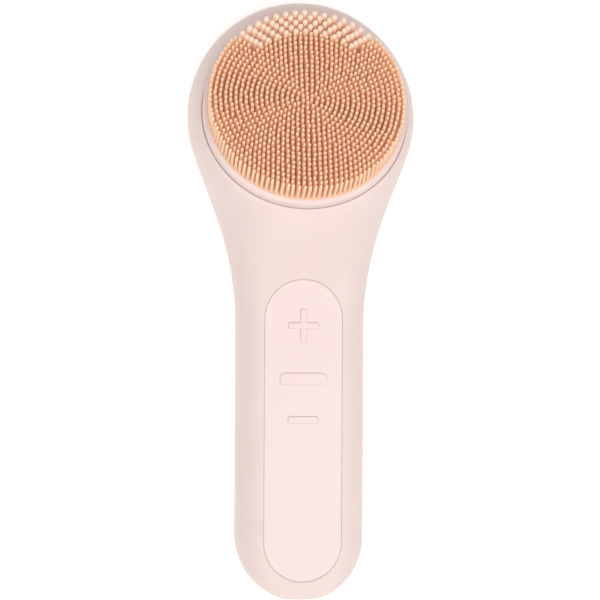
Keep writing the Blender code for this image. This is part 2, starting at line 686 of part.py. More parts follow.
def build_motor(pad_axis):
    can = [
        (3.4 * MM, -9.8 * MM), (CAN_RADIUS - 0.8 * MM, -9.8 * MM), (CAN_RADIUS, -10.6 * MM),
        (CAN_RADIUS, -19.8 * MM), (CAN_RADIUS - MM, -19.8 * MM), (CAN_RADIUS - MM, -10.8 * MM),
        (4.6 * MM, -10.8 * MM), (4.6 * MM, -11.8 * MM), (3.4 * MM, -11.8 * MM),
    ]
    turned("motor_can", can, STEEL, pad_axis, 28, ring=True)
    cap = [
        (0, -20.0 * MM), (3.4 * MM, -20.0 * MM), (3.4 * MM, -18.0 * MM), (4.4 * MM, -18.0 * MM),
        (4.4 * MM, -19.3 * MM), (CAN_RADIUS - 1.3 * MM, -19.3 * MM), (CAN_RADIUS - 1.3 * MM, -20.6 * MM),
        (0, -20.6 * MM),
    ]
    turned("motor_end_cap", cap, WHITE_ABS, pad_axis, 24)
    tube_ring("front_bearing", SHAFT_RADIUS + GAP, 3.1 * MM, -11.7 * MM, -9.9 * MM, BRASS, pad_axis, 24)
    tube_ring("rear_bearing", SHAFT_RADIUS + GAP, 3.1 * MM, -19.7 * MM, -18.1 * MM, BRASS, pad_axis, 24)
    tube_ring("stator_coil", 7.6 * MM, 10.9 * MM, -17.6 * MM, -12.2 * MM, COPPER, pad_axis, 32)
    tube_ring("rotor_magnet", SHAFT_RADIUS + GAP, 7.0 * MM, -17.4 * MM, -12.4 * MM, MAGNET, pad_axis, 28)
    cylinder("drive_shaft", SHAFT_RADIUS, -19.4 * MM, -4.3 * MM, STEEL, parent=pad_axis, segments=16)
    hub = [
        (0, -2.6 * MM), (3.0 * MM, -2.6 * MM), (3.5 * MM, -3.1 * MM), (3.5 * MM, -7.4 * MM),
        (SHAFT_RADIUS + GAP, -7.4 * MM), (SHAFT_RADIUS + GAP, -4.0 * MM), (0, -4.0 * MM),
    ]
    turned("drive_hub", hub, WHITE_ABS, pad_axis, 24)
    seal = [
        (2.4 * MM, -7.8 * MM), (7.4 * MM, -7.8 * MM), (7.4 * MM, -9.4 * MM), (2.4 * MM, -9.4 * MM),
        (SHAFT_RADIUS + GAP, -8.8 * MM),
    ]
    turned("shaft_seal", seal, BLACK_RUBBER, pad_axis, 28, ring=True)
    sleeve = CAN_RADIUS + GAP
    bracket = [
        (7.8 * MM, -6.3 * MM), (18.2 * MM, -6.3 * MM), (18.2 * MM, -7.5 * MM), (sleeve + 1.2 * MM, -7.5 * MM),
        (sleeve + 1.2 * MM, -14.5 * MM), (sleeve, -14.5 * MM), (sleeve, -7.5 * MM), (7.8 * MM, -7.5 * MM),
    ]
    made = turned("motor_bracket", bracket, GREY_ABS, pad_axis, 28, ring=True)
    for index in range(3):
        place = bracket_screw_place(index)
        hole = cylinder(
            f"bracket_clearance_{index + 1}", SCREW_RADIUS + GAP, -8.5 * MM, -5.5 * MM, at=place,
            parent=pad_axis, segments=12,
        )
        boolean(made, as_cutter(hole))
        fixing = screw(f"bracket_screw_{index + 1}", place, 0.0, 2.6 * MM, pad_axis)
        fixing.rotation_euler = (pi, 0, 0)
        fixing.location = (*place, -7.8 * MM - SCREW_HEAD_HEIGHT)


def build_head(pad_axis):
    skirt = CARRIER_RADIUS + GAP
    pad = [
        (0, PAD_TOP), (PAD_RADIUS - 0.9 * MM, PAD_TOP), (PAD_RADIUS - 0.25 * MM, PAD_TOP - 0.25 * MM),
        (PAD_RADIUS, PAD_TOP - 0.9 * MM), (PAD_RADIUS, -PAD_SKIRT_DEPTH), (skirt, -PAD_SKIRT_DEPTH),
        (skirt, -1.0 * MM), (0, -1.0 * MM),
    ]
    turned("brush_pad", pad, SKIN, pad_axis, 56)
    cylinder(
        "bristle_field", BRISTLE_FIELD_RADIUS, PAD_TOP + GAP, BRISTLE_TIP, BRISTLE_SILICONE,
        parent=pad_axis, segments=56,
    )
    carrier = [
        (0, -1.3 * MM), (CARRIER_RADIUS, -1.3 * MM), (CARRIER_RADIUS, -3.4 * MM), (6.0 * MM, -3.4 * MM),
        (6.0 * MM, -5.6 * MM), (3.9 * MM, -5.6 * MM), (3.9 * MM, -2.2 * MM), (0, -2.2 * MM),
    ]
    turned("head_carrier", carrier, WHITE_ABS, pad_axis, 40)


def build_leads():
    """Short leads: battery to board at the handle's end, and board to motor through the neck."""
    for word, side, finish in (("red", 1, RED_LEAD), ("black", -1, BLACK_LEAD)):
        battery = [(side * BATTERY_LEAD_X, y, z) for y, z in BATTERY_LEAD_ROUTE]
        curve_mesh(f"battery_lead_{word}", battery, finish, bevel=LEAD_RADIUS)
        motor = [(side * MOTOR_LEAD_X, y, z) for y, z in MOTOR_LEAD_ROUTE]
        curve_mesh(f"motor_lead_{word}", motor, finish, bevel=LEAD_RADIUS)


clear_scene()
PARTS = new_collection("facial_cleansing_brush")
CUTTERS = new_collection("cutters", cutters=True)
head_axis = add_empty("head_axis", PAD_CENTRE, -PAD_TILT)
build_shells(head_axis)
build_panel_and_keys()
build_power()
build_charging()
build_motor(head_axis)
build_head(head_axis)
build_leads()
bpy.context.view_layer.update()
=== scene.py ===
"""Facial cleansing brush: silicone skins, inlaid panel, moulded bristles and every inner finish."""

import json
import logging
from collections.abc import Iterable, Sequence
from dataclasses import dataclass, field, replace
from enum import Enum
from math import asin, atan, cos, pi, radians, sin, sqrt, tan

import bmesh
import bpy
import numpy as np
from mathutils import Matrix, Vector


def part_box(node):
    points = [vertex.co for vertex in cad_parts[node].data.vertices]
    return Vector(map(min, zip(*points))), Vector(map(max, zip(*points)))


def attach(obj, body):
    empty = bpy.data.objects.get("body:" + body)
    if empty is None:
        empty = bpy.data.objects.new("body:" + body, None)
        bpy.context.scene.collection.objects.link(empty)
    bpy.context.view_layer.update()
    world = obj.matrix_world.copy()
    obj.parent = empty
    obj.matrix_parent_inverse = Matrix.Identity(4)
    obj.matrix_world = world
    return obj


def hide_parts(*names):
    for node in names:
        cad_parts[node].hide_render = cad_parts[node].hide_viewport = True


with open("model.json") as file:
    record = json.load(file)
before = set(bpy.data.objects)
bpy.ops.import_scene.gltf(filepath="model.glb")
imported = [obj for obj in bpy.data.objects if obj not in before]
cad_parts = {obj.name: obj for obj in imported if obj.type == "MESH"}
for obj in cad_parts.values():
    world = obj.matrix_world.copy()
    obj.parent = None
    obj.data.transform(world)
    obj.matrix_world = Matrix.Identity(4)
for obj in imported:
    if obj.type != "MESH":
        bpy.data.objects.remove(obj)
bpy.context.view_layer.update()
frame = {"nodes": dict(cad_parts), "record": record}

MM = 0.001
LOG = logging.getLogger("cleansing_brush")

Point = tuple[float, float]
Links = dict[str | int, bpy.types.NodeSocket]


# Nodes and colours

def linear(hex_colour: str) -> tuple[float, float, float, float]:
    """Turns an sRGB hex colour into the linear RGBA that shaders take."""
    shares = [int(hex_colour[i:i + 2], 16) / 255 for i in (1, 3, 5)]
    return (*(s / 12.92 if s <= 0.04045 else ((s + 0.055) / 1.055) ** 2.4 for s in shares), 1.0)


def add_node(tree: bpy.types.NodeTree, kind: str, values: dict | None = None,
             links: Links | None = None, **settings) -> bpy.types.Node:
    """Adds one node to a material.

    Args:
        tree: The material's node tree.
        kind: The node's type name.
        values: What its sockets hold, by name or number.
        links: Which sockets feed it, by the name or number of the socket fed.
        settings: The node's own options.

    Returns:
        The new node.
    """
    node = tree.nodes.new(kind)
    for name, value in settings.items():
        setattr(node, name, value)
    for name, value in (values or {}).items():
        node.inputs[name].default_value = value
    for name, source in (links or {}).items():
        tree.links.new(source, node.inputs[name])
    return node


def per_metre(size_mm: float) -> float:
    """The texture scale that makes one feature as wide as a size in millimetres."""
    return 1.0 / (size_mm * MM)


# Finishes

@dataclass(frozen=True)
class Finish:
    """What all finishes share: one shader, fed in the object's own metres.

    Attributes:
        name: The material's name.
        colour: Its colour, sRGB hex.
        roughness: The shader's roughness before any pattern.
    """

    name: str
    colour: str
    roughness: float

    def material(self) -> bpy.types.Material:
        """Makes the material once and returns it each time."""
        found = bpy.data.materials.get(self.name)
        if found:
            return found
        made = bpy.data.materials.new(self.name)
        made.use_nodes = True
        shader = made.node_tree.nodes["Principled BSDF"]
        shader.inputs["Base Color"].default_value = linear(self.colour)
        shader.inputs["Roughness"].default_value = self.roughness
        place = add_node(made.node_tree, "ShaderNodeTexCoord").outputs["Object"]
        self.dress(made.node_tree, shader, place)
        return made

    def dress(self, tree: bpy.types.NodeTree, shader: bpy.types.Node, place: bpy.types.NodeSocket) -> None:
        """Adds what sets this finish apart.

        Args:
            tree: The material's node tree.
            shader: Its Principled shader.
            place: The position on the object, in metres.
        """

    def noise(self, tree: bpy.types.NodeTree, place: bpy.types.NodeSocket, size_mm: float,
              detail: float = 2.0) -> bpy.types.NodeSocket:
        """A noise whose features are a given size in millimetres."""
        values = {"Scale": per_metre(size_mm), "Detail": detail}
        return add_node(tree, "ShaderNodeTexNoise", values, {"Vector": place}).outputs["Fac"]

    def tint(self, tree: bpy.types.NodeTree, shader: bpy.types.Node, share: bpy.types.NodeSocket,
             low: str, high: str) -> None:
        """Feeds the base colour with a ramp between two sRGB colours."""
        ramp = add_node(tree, "ShaderNodeValToRGB", links={"Fac": share})
        ramp.color_ramp.elements[0].color = linear(low)
        ramp.color_ramp.elements[1].color = linear(high)
        ramp.color_ramp.elements[0].position = 0.3
        ramp.color_ramp.elements[1].position = 0.7
        tree.links.new(ramp.outputs["Color"], shader.inputs["Base Color"])

    def spread_roughness(self, tree: bpy.types.NodeTree, shader: bpy.types.Node,
                         share: bpy.types.NodeSocket, spread: float) -> None:
        """Lets a pattern carry the roughness a little either side of its value."""
        limits = {"To Min": self.roughness - spread, "To Max": self.roughness + spread}
        ranged = add_node(tree, "ShaderNodeMapRange", limits, {"Value": share})
        tree.links.new(ranged.outputs["Result"], shader.inputs["Roughness"])

    def bump(self, tree: bpy.types.NodeTree, shader: bpy.types.Node, height: bpy.types.NodeSocket,
             depth_mm: float, strength: float = 1.0) -> None:
        """Raises a pattern by a depth in millimetres."""
        values = {"Distance": depth_mm * MM, "Strength": strength}
        made = add_node(tree, "ShaderNodeBump", values, {"Height": height})
        tree.links.new(made.outputs["Normal"], shader.inputs["Normal"])


@dataclass(frozen=True)
class PressedSilicone(Finish):
    """Food-safe silicone cured in a spark-eroded mould: matte and dry to the eye, with a faint inner glow.

    Attributes:
        shade: The slightly deeper colour of its thicker patches.
        glow: How much light travels under the surface.
        grain_mm: The mould's texture. The real one is about 0.1 mm, drawn coarser so that it shows.
    """

    shade: str = "#e9d3cd"
    glow: float = 0.18
    grain_mm: float = 0.32

    def dress(self, tree: bpy.types.NodeTree, shader: bpy.types.Node, place: bpy.types.NodeSocket) -> None:
        """Adds patchy tone, the mould's grain and a soft inner glow."""
        self.tint(tree, shader, self.noise(tree, place, 22.0), self.shade, self.colour)
        grain = self.noise(tree, place, self.grain_mm, 3.0)
        self.spread_roughness(tree, shader, grain, 0.06)
        self.bump(tree, shader, grain, 0.012, 0.5)
        shader.inputs["Subsurface Weight"].default_value = self.glow
        shader.inputs["Subsurface Radius"].default_value = (1.0, 0.62, 0.5)
        shader.inputs["Subsurface Scale"].default_value = 1.6 * MM
        shader.inputs["Specular IOR Level"].default_value = 0.38
        shader.inputs["Sheen Weight"].default_value = 0.12
        shader.inputs["Sheen Roughness"].default_value = 0.45
        shader.inputs["Sheen Tint"].default_value = linear("#fff1ec")
        shader.inputs["IOR"].default_value = 1.41


@dataclass(frozen=True)
class BristleSilicone(Finish):
    """Softer, clearer silicone, darker at the root of each bristle and paling to a peach tip: the darkening is
    partly the silicone's tone and partly painted shade between the bristles.

    Attributes:
        root: The colour at the foot of a bristle, deepened partly as painted shade between the bristles.
        middle: The colour half way up.
        glow: The colour of a painted glow, an emission that stands in for the light that comes through from
            the bristles around.
        axis: The direction that the bristles stand along.
        span: Where the roots and the tips are along that direction, in metres.
    """

    root: str = "#fccbae"
    middle: str = "#ffcfae"
    glow: str = "#ffcfae"
    axis: tuple[float, float, float] = (0.0, 0.0, 1.0)
    span: tuple[float, float] = (0.0, 0.01)

    def dress(self, tree: bpy.types.NodeTree, shader: bpy.types.Node, place: bpy.types.NodeSocket) -> None:
        """Adds the root-to-tip colour, a satin skin and a painted glow that stands in for light passing
        through.
        """
        along = add_node(
            tree, "ShaderNodeVectorMath", {1: self.axis}, {0: place}, operation="DOT_PRODUCT"
        ).outputs["Value"]
        limits = {"From Min": self.span[0], "From Max": self.span[1]}
        share = add_node(tree, "ShaderNodeMapRange", limits, {"Value": along}).outputs["Result"]
        # The deeper colour towards the roots is partly painted shade, where the bristles shade each other.
        ramp = add_node(tree, "ShaderNodeValToRGB", links={"Fac": share})
        ramp.color_ramp.elements[0].color = linear(self.root)
        ramp.color_ramp.elements[1].color = linear(self.colour)
        ramp.color_ramp.elements.new(0.55).color = linear(self.middle)
        tree.links.new(ramp.outputs["Color"], shader.inputs["Base Color"])
        skin = self.noise(tree, place, 0.35)
        self.spread_roughness(tree, shader, skin, 0.05)
        self.bump(tree, shader, skin, 0.006, 0.4)
        shader.inputs["Subsurface Weight"].default_value = 0.4
        shader.inputs["Subsurface Radius"].default_value = (1.0, 0.5, 0.28)
        shader.inputs["Subsurface Scale"].default_value = 1.2 * MM
        # Painted glow: a faint emission in the bristles' colour, standing in for light that passes through
        # from the bristles around.
        shader.inputs["Emission Color"].default_value = linear(self.glow)
        shader.inputs["Emission Strength"].default_value = 0.036
        shader.inputs["IOR"].default_value = 1.41


@dataclass(frozen=True)
class MouldedAbs(Finish):
    """Injection-moulded ABS: satin, with a fine even texture and faint flow marks."""

    def dress(self, tree: bpy.types.NodeTree, shader: bpy.types.Node, place: bpy.types.NodeSocket) -> None:
        """Adds the mould texture and the flow marks."""
        texture = self.noise(tree, place, 0.4, 4.0)
        self.bump(tree, shader, texture, 0.01, 0.6)
        self.spread_roughness(tree, shader, self.noise(tree, place, 5.0), 0.08)
        shader.inputs["IOR"].default_value = 1.54


@dataclass(frozen=True)
class PressedRubber(Finish):
    """Nitrile rubber pressed into seals: black, dull, with a trace of mould dust."""

    def dress(self, tree: bpy.types.NodeTree, shader: bpy.types.Node, place: bpy.types.NodeSocket) -> None:
        """Adds the dust and a leathery fine grain."""
        self.tint(tree, shader, self.noise(tree, place, 1.5), self.colour, "#2b2b2c")
        self.bump(tree, shader, self.noise(tree, place, 0.25), 0.01, 0.7)


@dataclass(frozen=True)
class TurnedMetal(Finish):
    """A metal off the lathe or out of the plating bath: fine rings of tool marks catch the light.

    Attributes:
        pitch_mm: The distance from one tool mark to the next, drawn coarser than the real 0.05 mm.
        depth_mm: How deep the marks are.
        stain: The colour of the slightly duller patches.
    """

    pitch_mm: float = 0.3
    depth_mm: float = 0.004
    stain: str = "#9c9d9f"

    def dress(self, tree: bpy.types.NodeTree, shader: bpy.types.Node, place: bpy.types.NodeSocket) -> None:
        """Adds the tool marks and the duller patches."""
        shader.inputs["Metallic"].default_value = 1.0
        self.tint(tree, shader, self.noise(tree, place, 3.0), self.stain, self.colour)
        # A wave repeats twenty times in a distance of pi at a scale of one
        values = {"Scale": per_metre(self.pitch_mm) * pi / 10, "Distortion": 0.4}
        marks = add_node(tree, "ShaderNodeTexWave", values, {"Vector": place}, bands_direction="Z")
        self.bump(tree, shader, marks.outputs["Fac"], self.depth_mm, 0.5)
        self.spread_roughness(tree, shader, self.noise(tree, place, 0.8), 0.07)


@dataclass(frozen=True)
class WoundWire(Finish):
    """Enamelled copper wire in even layers: a ridge for each turn, with painted shade darkening the hollow
    between two turns.

    Attributes:
        axis: The direction that the turns are stacked along.
        wire_mm: The wire's diameter.
    """

    axis: tuple[float, float, float] = (0.0, 0.0, 1.0)
    wire_mm: float = 0.35

    def dress(self, tree: bpy.types.NodeTree, shader: bpy.types.Node, place: bpy.types.NodeSocket) -> None:
        """Adds one ridge for each turn of wire, with painted shade in the hollow between turns."""
        along = add_node(
            tree, "ShaderNodeVectorMath", {1: self.axis}, {0: place}, operation="DOT_PRODUCT"
        ).outputs["Value"]
        turn = 2 * pi / (self.wire_mm * MM)
        turns = add_node(tree, "ShaderNodeMath", {1: turn}, {0: along}, operation="MULTIPLY")
        ridge = add_node(tree, "ShaderNodeMath", links={0: turns.outputs[0]}, operation="SINE").outputs[0]
        limits = {"From Min": -1.0}
        share = add_node(tree, "ShaderNodeMapRange", limits, {"Value": ridge}).outputs["Result"]
        # The dark colour in the hollow between two turns is painted shade.
        self.tint(tree, shader, share, "#5e2c17", self.colour)
        self.bump(tree, shader, share, 0.12, 0.8)
        shader.inputs["Metallic"].default_value = 0.85


@dataclass(frozen=True)
class SolderMask(Finish):
    """Glass-fibre board under green solder mask: copper tracks show as paler lines below the gloss."""

    def dress(self, tree: bpy.types.NodeTree, shader: bpy.types.Node, place: bpy.types.NodeSocket) -> None:
        """Adds the tracks, 0.3 mm wide and 1.6 mm apart, and the mask's gloss."""
        values = {
            "Scale": per_metre(10.0), "Mortar Size": 0.02, "Brick Width": 0.9, "Row Height": 0.16,
            "Color1": linear(self.colour), "Color2": linear("#155232"), "Mortar": linear("#3f8a55"),
        }
        tracks = add_node(tree, "ShaderNodeTexBrick", values, {"Vector": place})
        tree.links.new(tracks.outputs["Color"], shader.inputs["Base Color"])
        self.bump(tree, shader, tracks.outputs["Fac"], 0.03, 0.5)
        shader.inputs["Coat Weight"].default_value = 0.6
        shader.inputs["Coat Roughness"].default_value = 0.15


@dataclass(frozen=True)
class SleevedCell(Finish):
    """A lithium cell in a heat-shrunk sleeve: glossy film along its side, bare nickelled steel at both ends.

    Attributes:
        ends: Where the sleeve stops along the handle, in metres.
    """

    ends: tuple[float, float] = (-0.05, 0.0)

    def dress(self, tree: bpy.types.NodeTree, shader: bpy.types.Node, place: bpy.types.NodeSocket) -> None:
        """Adds the bare ends, the film's wrinkles and its gloss."""
        apart = add_node(tree, "ShaderNodeSeparateXYZ", links={"Vector": place}).outputs["Y"]
        middle = (self.ends[0] + self.ends[1]) / 2
        reach = (self.ends[1] - self.ends[0]) / 2
        offset = add_node(tree, "ShaderNodeMath", {1: middle}, {0: apart}, operation="SUBTRACT").outputs[0]
        away = add_node(tree, "ShaderNodeMath", links={0: offset}, operation="ABSOLUTE").outputs[0]
        bare = add_node(tree, "ShaderNodeMath", {1: reach}, {0: away}, operation="GREATER_THAN").outputs[0]
        self.tint(tree, shader, bare, self.colour, "#b9bbbd")
        tree.links.new(bare, shader.inputs["Metallic"])
        self.bump(tree, shader, self.noise(tree, place, 2.5), 0.03, 0.4)


@dataclass(frozen=True)
class MouldedEpoxy(Finish):
    """Filled black epoxy round a chip or a switch: matte, speckled with silica."""

    def dress(self, tree: bpy.types.NodeTree, shader: bpy.types.Node, place: bpy.types.NodeSocket) -> None:
        """Adds the speckle and the moulded texture."""
        speck = self.noise(tree, place, 0.15, 1.0)
        self.tint(tree, shader, speck, self.colour, "#34353a")
        self.bump(tree, shader, speck, 0.01, 0.5)


@dataclass(frozen=True)
class DrawnPvc(Finish):
    """PVC insulation drawn over stranded wire: semi-gloss, with the strands' twist just visible."""

    def dress(self, tree: bpy.types.NodeTree, shader: bpy.types.Node, place: bpy.types.NodeSocket) -> None:
        """Adds the twist and a soft gloss."""
        values = {"Scale": per_metre(1.2) * pi / 10, "Distortion": 0.5}
        twist = add_node(tree, "ShaderNodeTexWave", values, {"Vector": place}, bands_direction="DIAGONAL")
        self.bump(tree, shader, twist.outputs["Fac"], 0.02, 0.4)
        self.spread_roughness(tree, shader, self.noise(tree, place, 1.0), 0.06)


@dataclass(frozen=True)
class TablePaper(Finish):
    """Matt white paper over the table, lit a little from below so that shadows stay pale."""

    def dress(self, tree: bpy.types.NodeTree, shader: bpy.types.Node, place: bpy.types.NodeSocket) -> None:
        """Adds the paper's fibres and the light from below."""
        self.bump(tree, shader, self.noise(tree, place, 0.8), 0.01, 0.3)
        shader.inputs["Emission Color"].default_value = (1.0, 1.0, 1.0, 1.0)
        shader.inputs["Emission Strength"].default_value = 0.3


# Meshes

def new_piece(name: str, mesh: bpy.types.Mesh, sharp_angle: float = radians(34)) -> bpy.types.Object:
    """Links a mesh to the scene, smooth except where it turns sharply.

    Args:
        name: The piece's name.
        mesh: Its mesh, in metres in the frame of the model.
        sharp_angle: Edges that turn by more than this stay sharp.

    Returns:
        The new object.
    """
    piece = bpy.data.objects.new(name, mesh)
    bpy.context.scene.collection.objects.link(piece)
    mesh.shade_smooth()
    mesh.set_sharp_from_angle(angle=sharp_angle)
    return piece


def ring_mesh(name: str, rings: Sequence[Sequence[Vector]], wrap: bool = False) -> bpy.types.Mesh:
    """Skins equal closed rings of points into a solid.

    Args:
        name: The mesh's name.
        rings: Rings with the same number of points, from one end to the other.
        wrap: Whether the last ring joins the first, instead of both ends being capped.

    Returns:
        A closed mesh with its faces pointing out.
    """
    grid = bmesh.new()
    made = [[grid.verts.new(point) for point in ring] for ring in rings]
    count = len(made[0])
    pairs = list(zip(made, made[1:]))
    if wrap:
        pairs.append((made[-1], made[0]))
    else:
        grid.faces.new(made[0])
        grid.faces.new(made[-1])
    for lower, upper in pairs:
        for i in range(count):
            j = (i + 1) % count
            grid.faces.new((lower[i], lower[j], upper[j], upper[i]))
    bmesh.ops.recalc_face_normals(grid, faces=grid.faces)
    mesh = bpy.data.meshes.new(name)
    grid.to_mesh(mesh)
    grid.free()
    return mesh


def turned_mesh(name: str, profile: Sequence[Point], axis: Matrix, steps: int,
                wrap: bool = False) -> bpy.types.Mesh:
    """A turned solid from (radius, height) points.

    Args:
        name: The mesh's name.
        profile: Points of the half section, in metres.
        axis: Where the turning axis, its own Z, lies.
        steps: How many flat sides make the round.
        wrap: Whether the profile closes on itself, as a ring's does.

    Returns:
        The closed mesh.
    """
    angles = [2 * pi * i / steps for i in range(steps)]
    rings = [
        [axis @ Vector((radius * cos(a), radius * sin(a), height)) for a in angles]
        for radius, height in profile
    ]
    return ring_mesh(name, rings, wrap)


def fillet(start: Point, end: Point, steps: int = 5, hollow: bool = False) -> list[Point]:
    """A quarter ellipse between two (radius, height) points.

    Args:
        start: The first point, where the curve runs along the radius.
        end: The last point, where the curve runs along the height.
        steps: How many pieces the curve has.
        hollow: Whether it leaves along the height and arrives along the radius instead.

    Returns:
        The curve's points, both ends included.
    """
    points = []
    for i in range(steps + 1):
        turn = pi / 2 * i / steps
        across, along = (1 - cos(turn), sin(turn)) if hollow else (sin(turn), 1 - cos(turn))
        points.append((start[0] + (end[0] - start[0]) * across, start[1] + (end[1] - start[1]) * along))
    return points


def slot_outline(half_width: float, half_height: float, corner: float, centre_y: float,
                 steps: int = 10) -> list[Point]:
    """The outline of a rectangle with round corners, anticlockwise."""
    points = []
    for turn, (side_x, side_y) in enumerate(((1, -1), (1, 1), (-1, 1), (-1, -1))):
        middle_x = side_x * (half_width - corner)
        middle_y = centre_y + side_y * (half_height - corner)
        for step in range(steps + 1):
            angle = (turn - 1) * pi / 2 + step * pi / 2 / steps
            points.append((middle_x + corner * cos(angle), middle_y + corner * sin(angle)))
    return points


@dataclass(frozen=True)
class SlotShape:
    """A flat shape with round corners whose edge can be offset, for inlays, keys and their openings.

    Attributes:
        half_width: Half its size across the handle.
        half_height: Half its size along the handle.
        corner: The radius of its corners.
        centre_y: Where its middle lies along the handle.
    """

    half_width: float
    half_height: float
    corner: float
    centre_y: float

    def outline(self, grow: float = 0.0) -> list[Point]:
        """The outline, offset outwards by a distance."""
        width, height = self.half_width + grow, self.half_height + grow
        corner = min(max(self.corner + grow, 0.05 * MM), width - 1e-6, height - 1e-6)
        return slot_outline(width, height, corner, self.centre_y)

    def stacked(self, name: str, levels: Iterable[Point]) -> bpy.types.Mesh:
        """A solid from (offset, height) levels."""
        rings = [[Vector((x, y, z)) for x, y in self.outline(grow)] for grow, z in levels]
        return ring_mesh(name, rings)


def cut(piece: bpy.types.Object, cutters: Sequence[bpy.types.Mesh], join: bool = False) -> None:
    """Cuts meshes out of a piece, or joins them to it, and keeps the result as its mesh.

    Args:
        piece: The object that changes.
        cutters: The meshes to take away or to join.
        join: Whether to join instead of cutting.
    """
    for mesh in cutters:
        tool = bpy.data.objects.new(mesh.name, mesh)
        bpy.context.scene.collection.objects.link(tool)
        modifier = piece.modifiers.new(tool.name, "BOOLEAN")
        modifier.operation = "UNION" if join else "DIFFERENCE"
        modifier.solver = "EXACT"
        modifier.object = tool
        keep_evaluated(piece)
        bpy.data.objects.remove(tool, do_unlink=True)


def keep_evaluated(piece: bpy.types.Object) -> None:
    """Makes what a piece's modifiers give its own mesh."""
    bpy.context.view_layer.update()
    evaluated = piece.evaluated_get(bpy.context.evaluated_depsgraph_get())
    mesh = bpy.data.meshes.new_from_object(evaluated)
    piece.modifiers.clear()
    old = piece.data
    piece.data = mesh
    bpy.data.meshes.remove(old)


def finish_cut_piece(piece: bpy.types.Object, sharp_angle: float = radians(34)) -> None:
    """Shades a cut piece so that its large faces stay even up to their edges."""
    grid = bmesh.new()
    grid.from_mesh(piece.data)
    bmesh.ops.dissolve_degenerate(grid, dist=0.002 * MM, edges=grid.edges)
    grid.to_mesh(piece.data)
    grid.free()
    piece.data.shade_smooth()
    piece.data.set_sharp_from_angle(angle=sharp_angle)
    modifier = piece.modifiers.new("even_normals", "WEIGHTED_NORMAL")
    modifier.keep_sharp = True
    modifier.weight = 80
    keep_evaluated(piece)


class Slot(Enum):
    """The record's material slots."""

    SKIN = "blush_silicone"
    PANEL = "panel_silicone"
    BRISTLES = "peach_silicone"


def place_piece(piece: bpy.types.Object, body: str, finish: Finish,
                replaced: Sequence[str]) -> None:
    """Rides a piece on its body, says what it stands for and gives it its finish.

    Args:
        piece: The object.
        body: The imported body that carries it.
        finish: Its finish.
        replaced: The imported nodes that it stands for.
    """
    piece.data.materials.clear()
    piece.data.materials.append(finish.material())
    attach(piece, body)
    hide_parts(*replaced)
    LOG.info("%s: %d faces on %s, for %s", piece.name, len(piece.data.polygons), body, ", ".join(replaced))


# The frame's own places

def joint_row(name: str) -> dict:
    """The record's row for a joint."""
    return next(row for row in frame["record"]["behaviour"]["joints"] if row["name"] == name)


HEAD_JOINT = joint_row("head_oscillation")
HEAD_CENTRE = Vector(HEAD_JOINT["pos_m"])
HEAD_NORMAL = Vector(HEAD_JOINT["axis"]).normalized()
HEAD_TILT = atan(HEAD_NORMAL.y / HEAD_NORMAL.z)
HEAD_AXIS = Matrix.Translation(HEAD_CENTRE) @ Matrix.Rotation(-HEAD_TILT, 4, "X")


def upright_at(y: float) -> Matrix:
    """An upright axis on the middle line at y."""
    return Matrix.Translation((0.0, y, 0.0))


# The body

def smoothstep(value: float, low: float, high: float) -> float:
    """0 below low, 1 above high and a smooth step between."""
    share = min(max((value - low) / (high - low), 0.0), 1.0)
    return share * share * (3 - 2 * share)


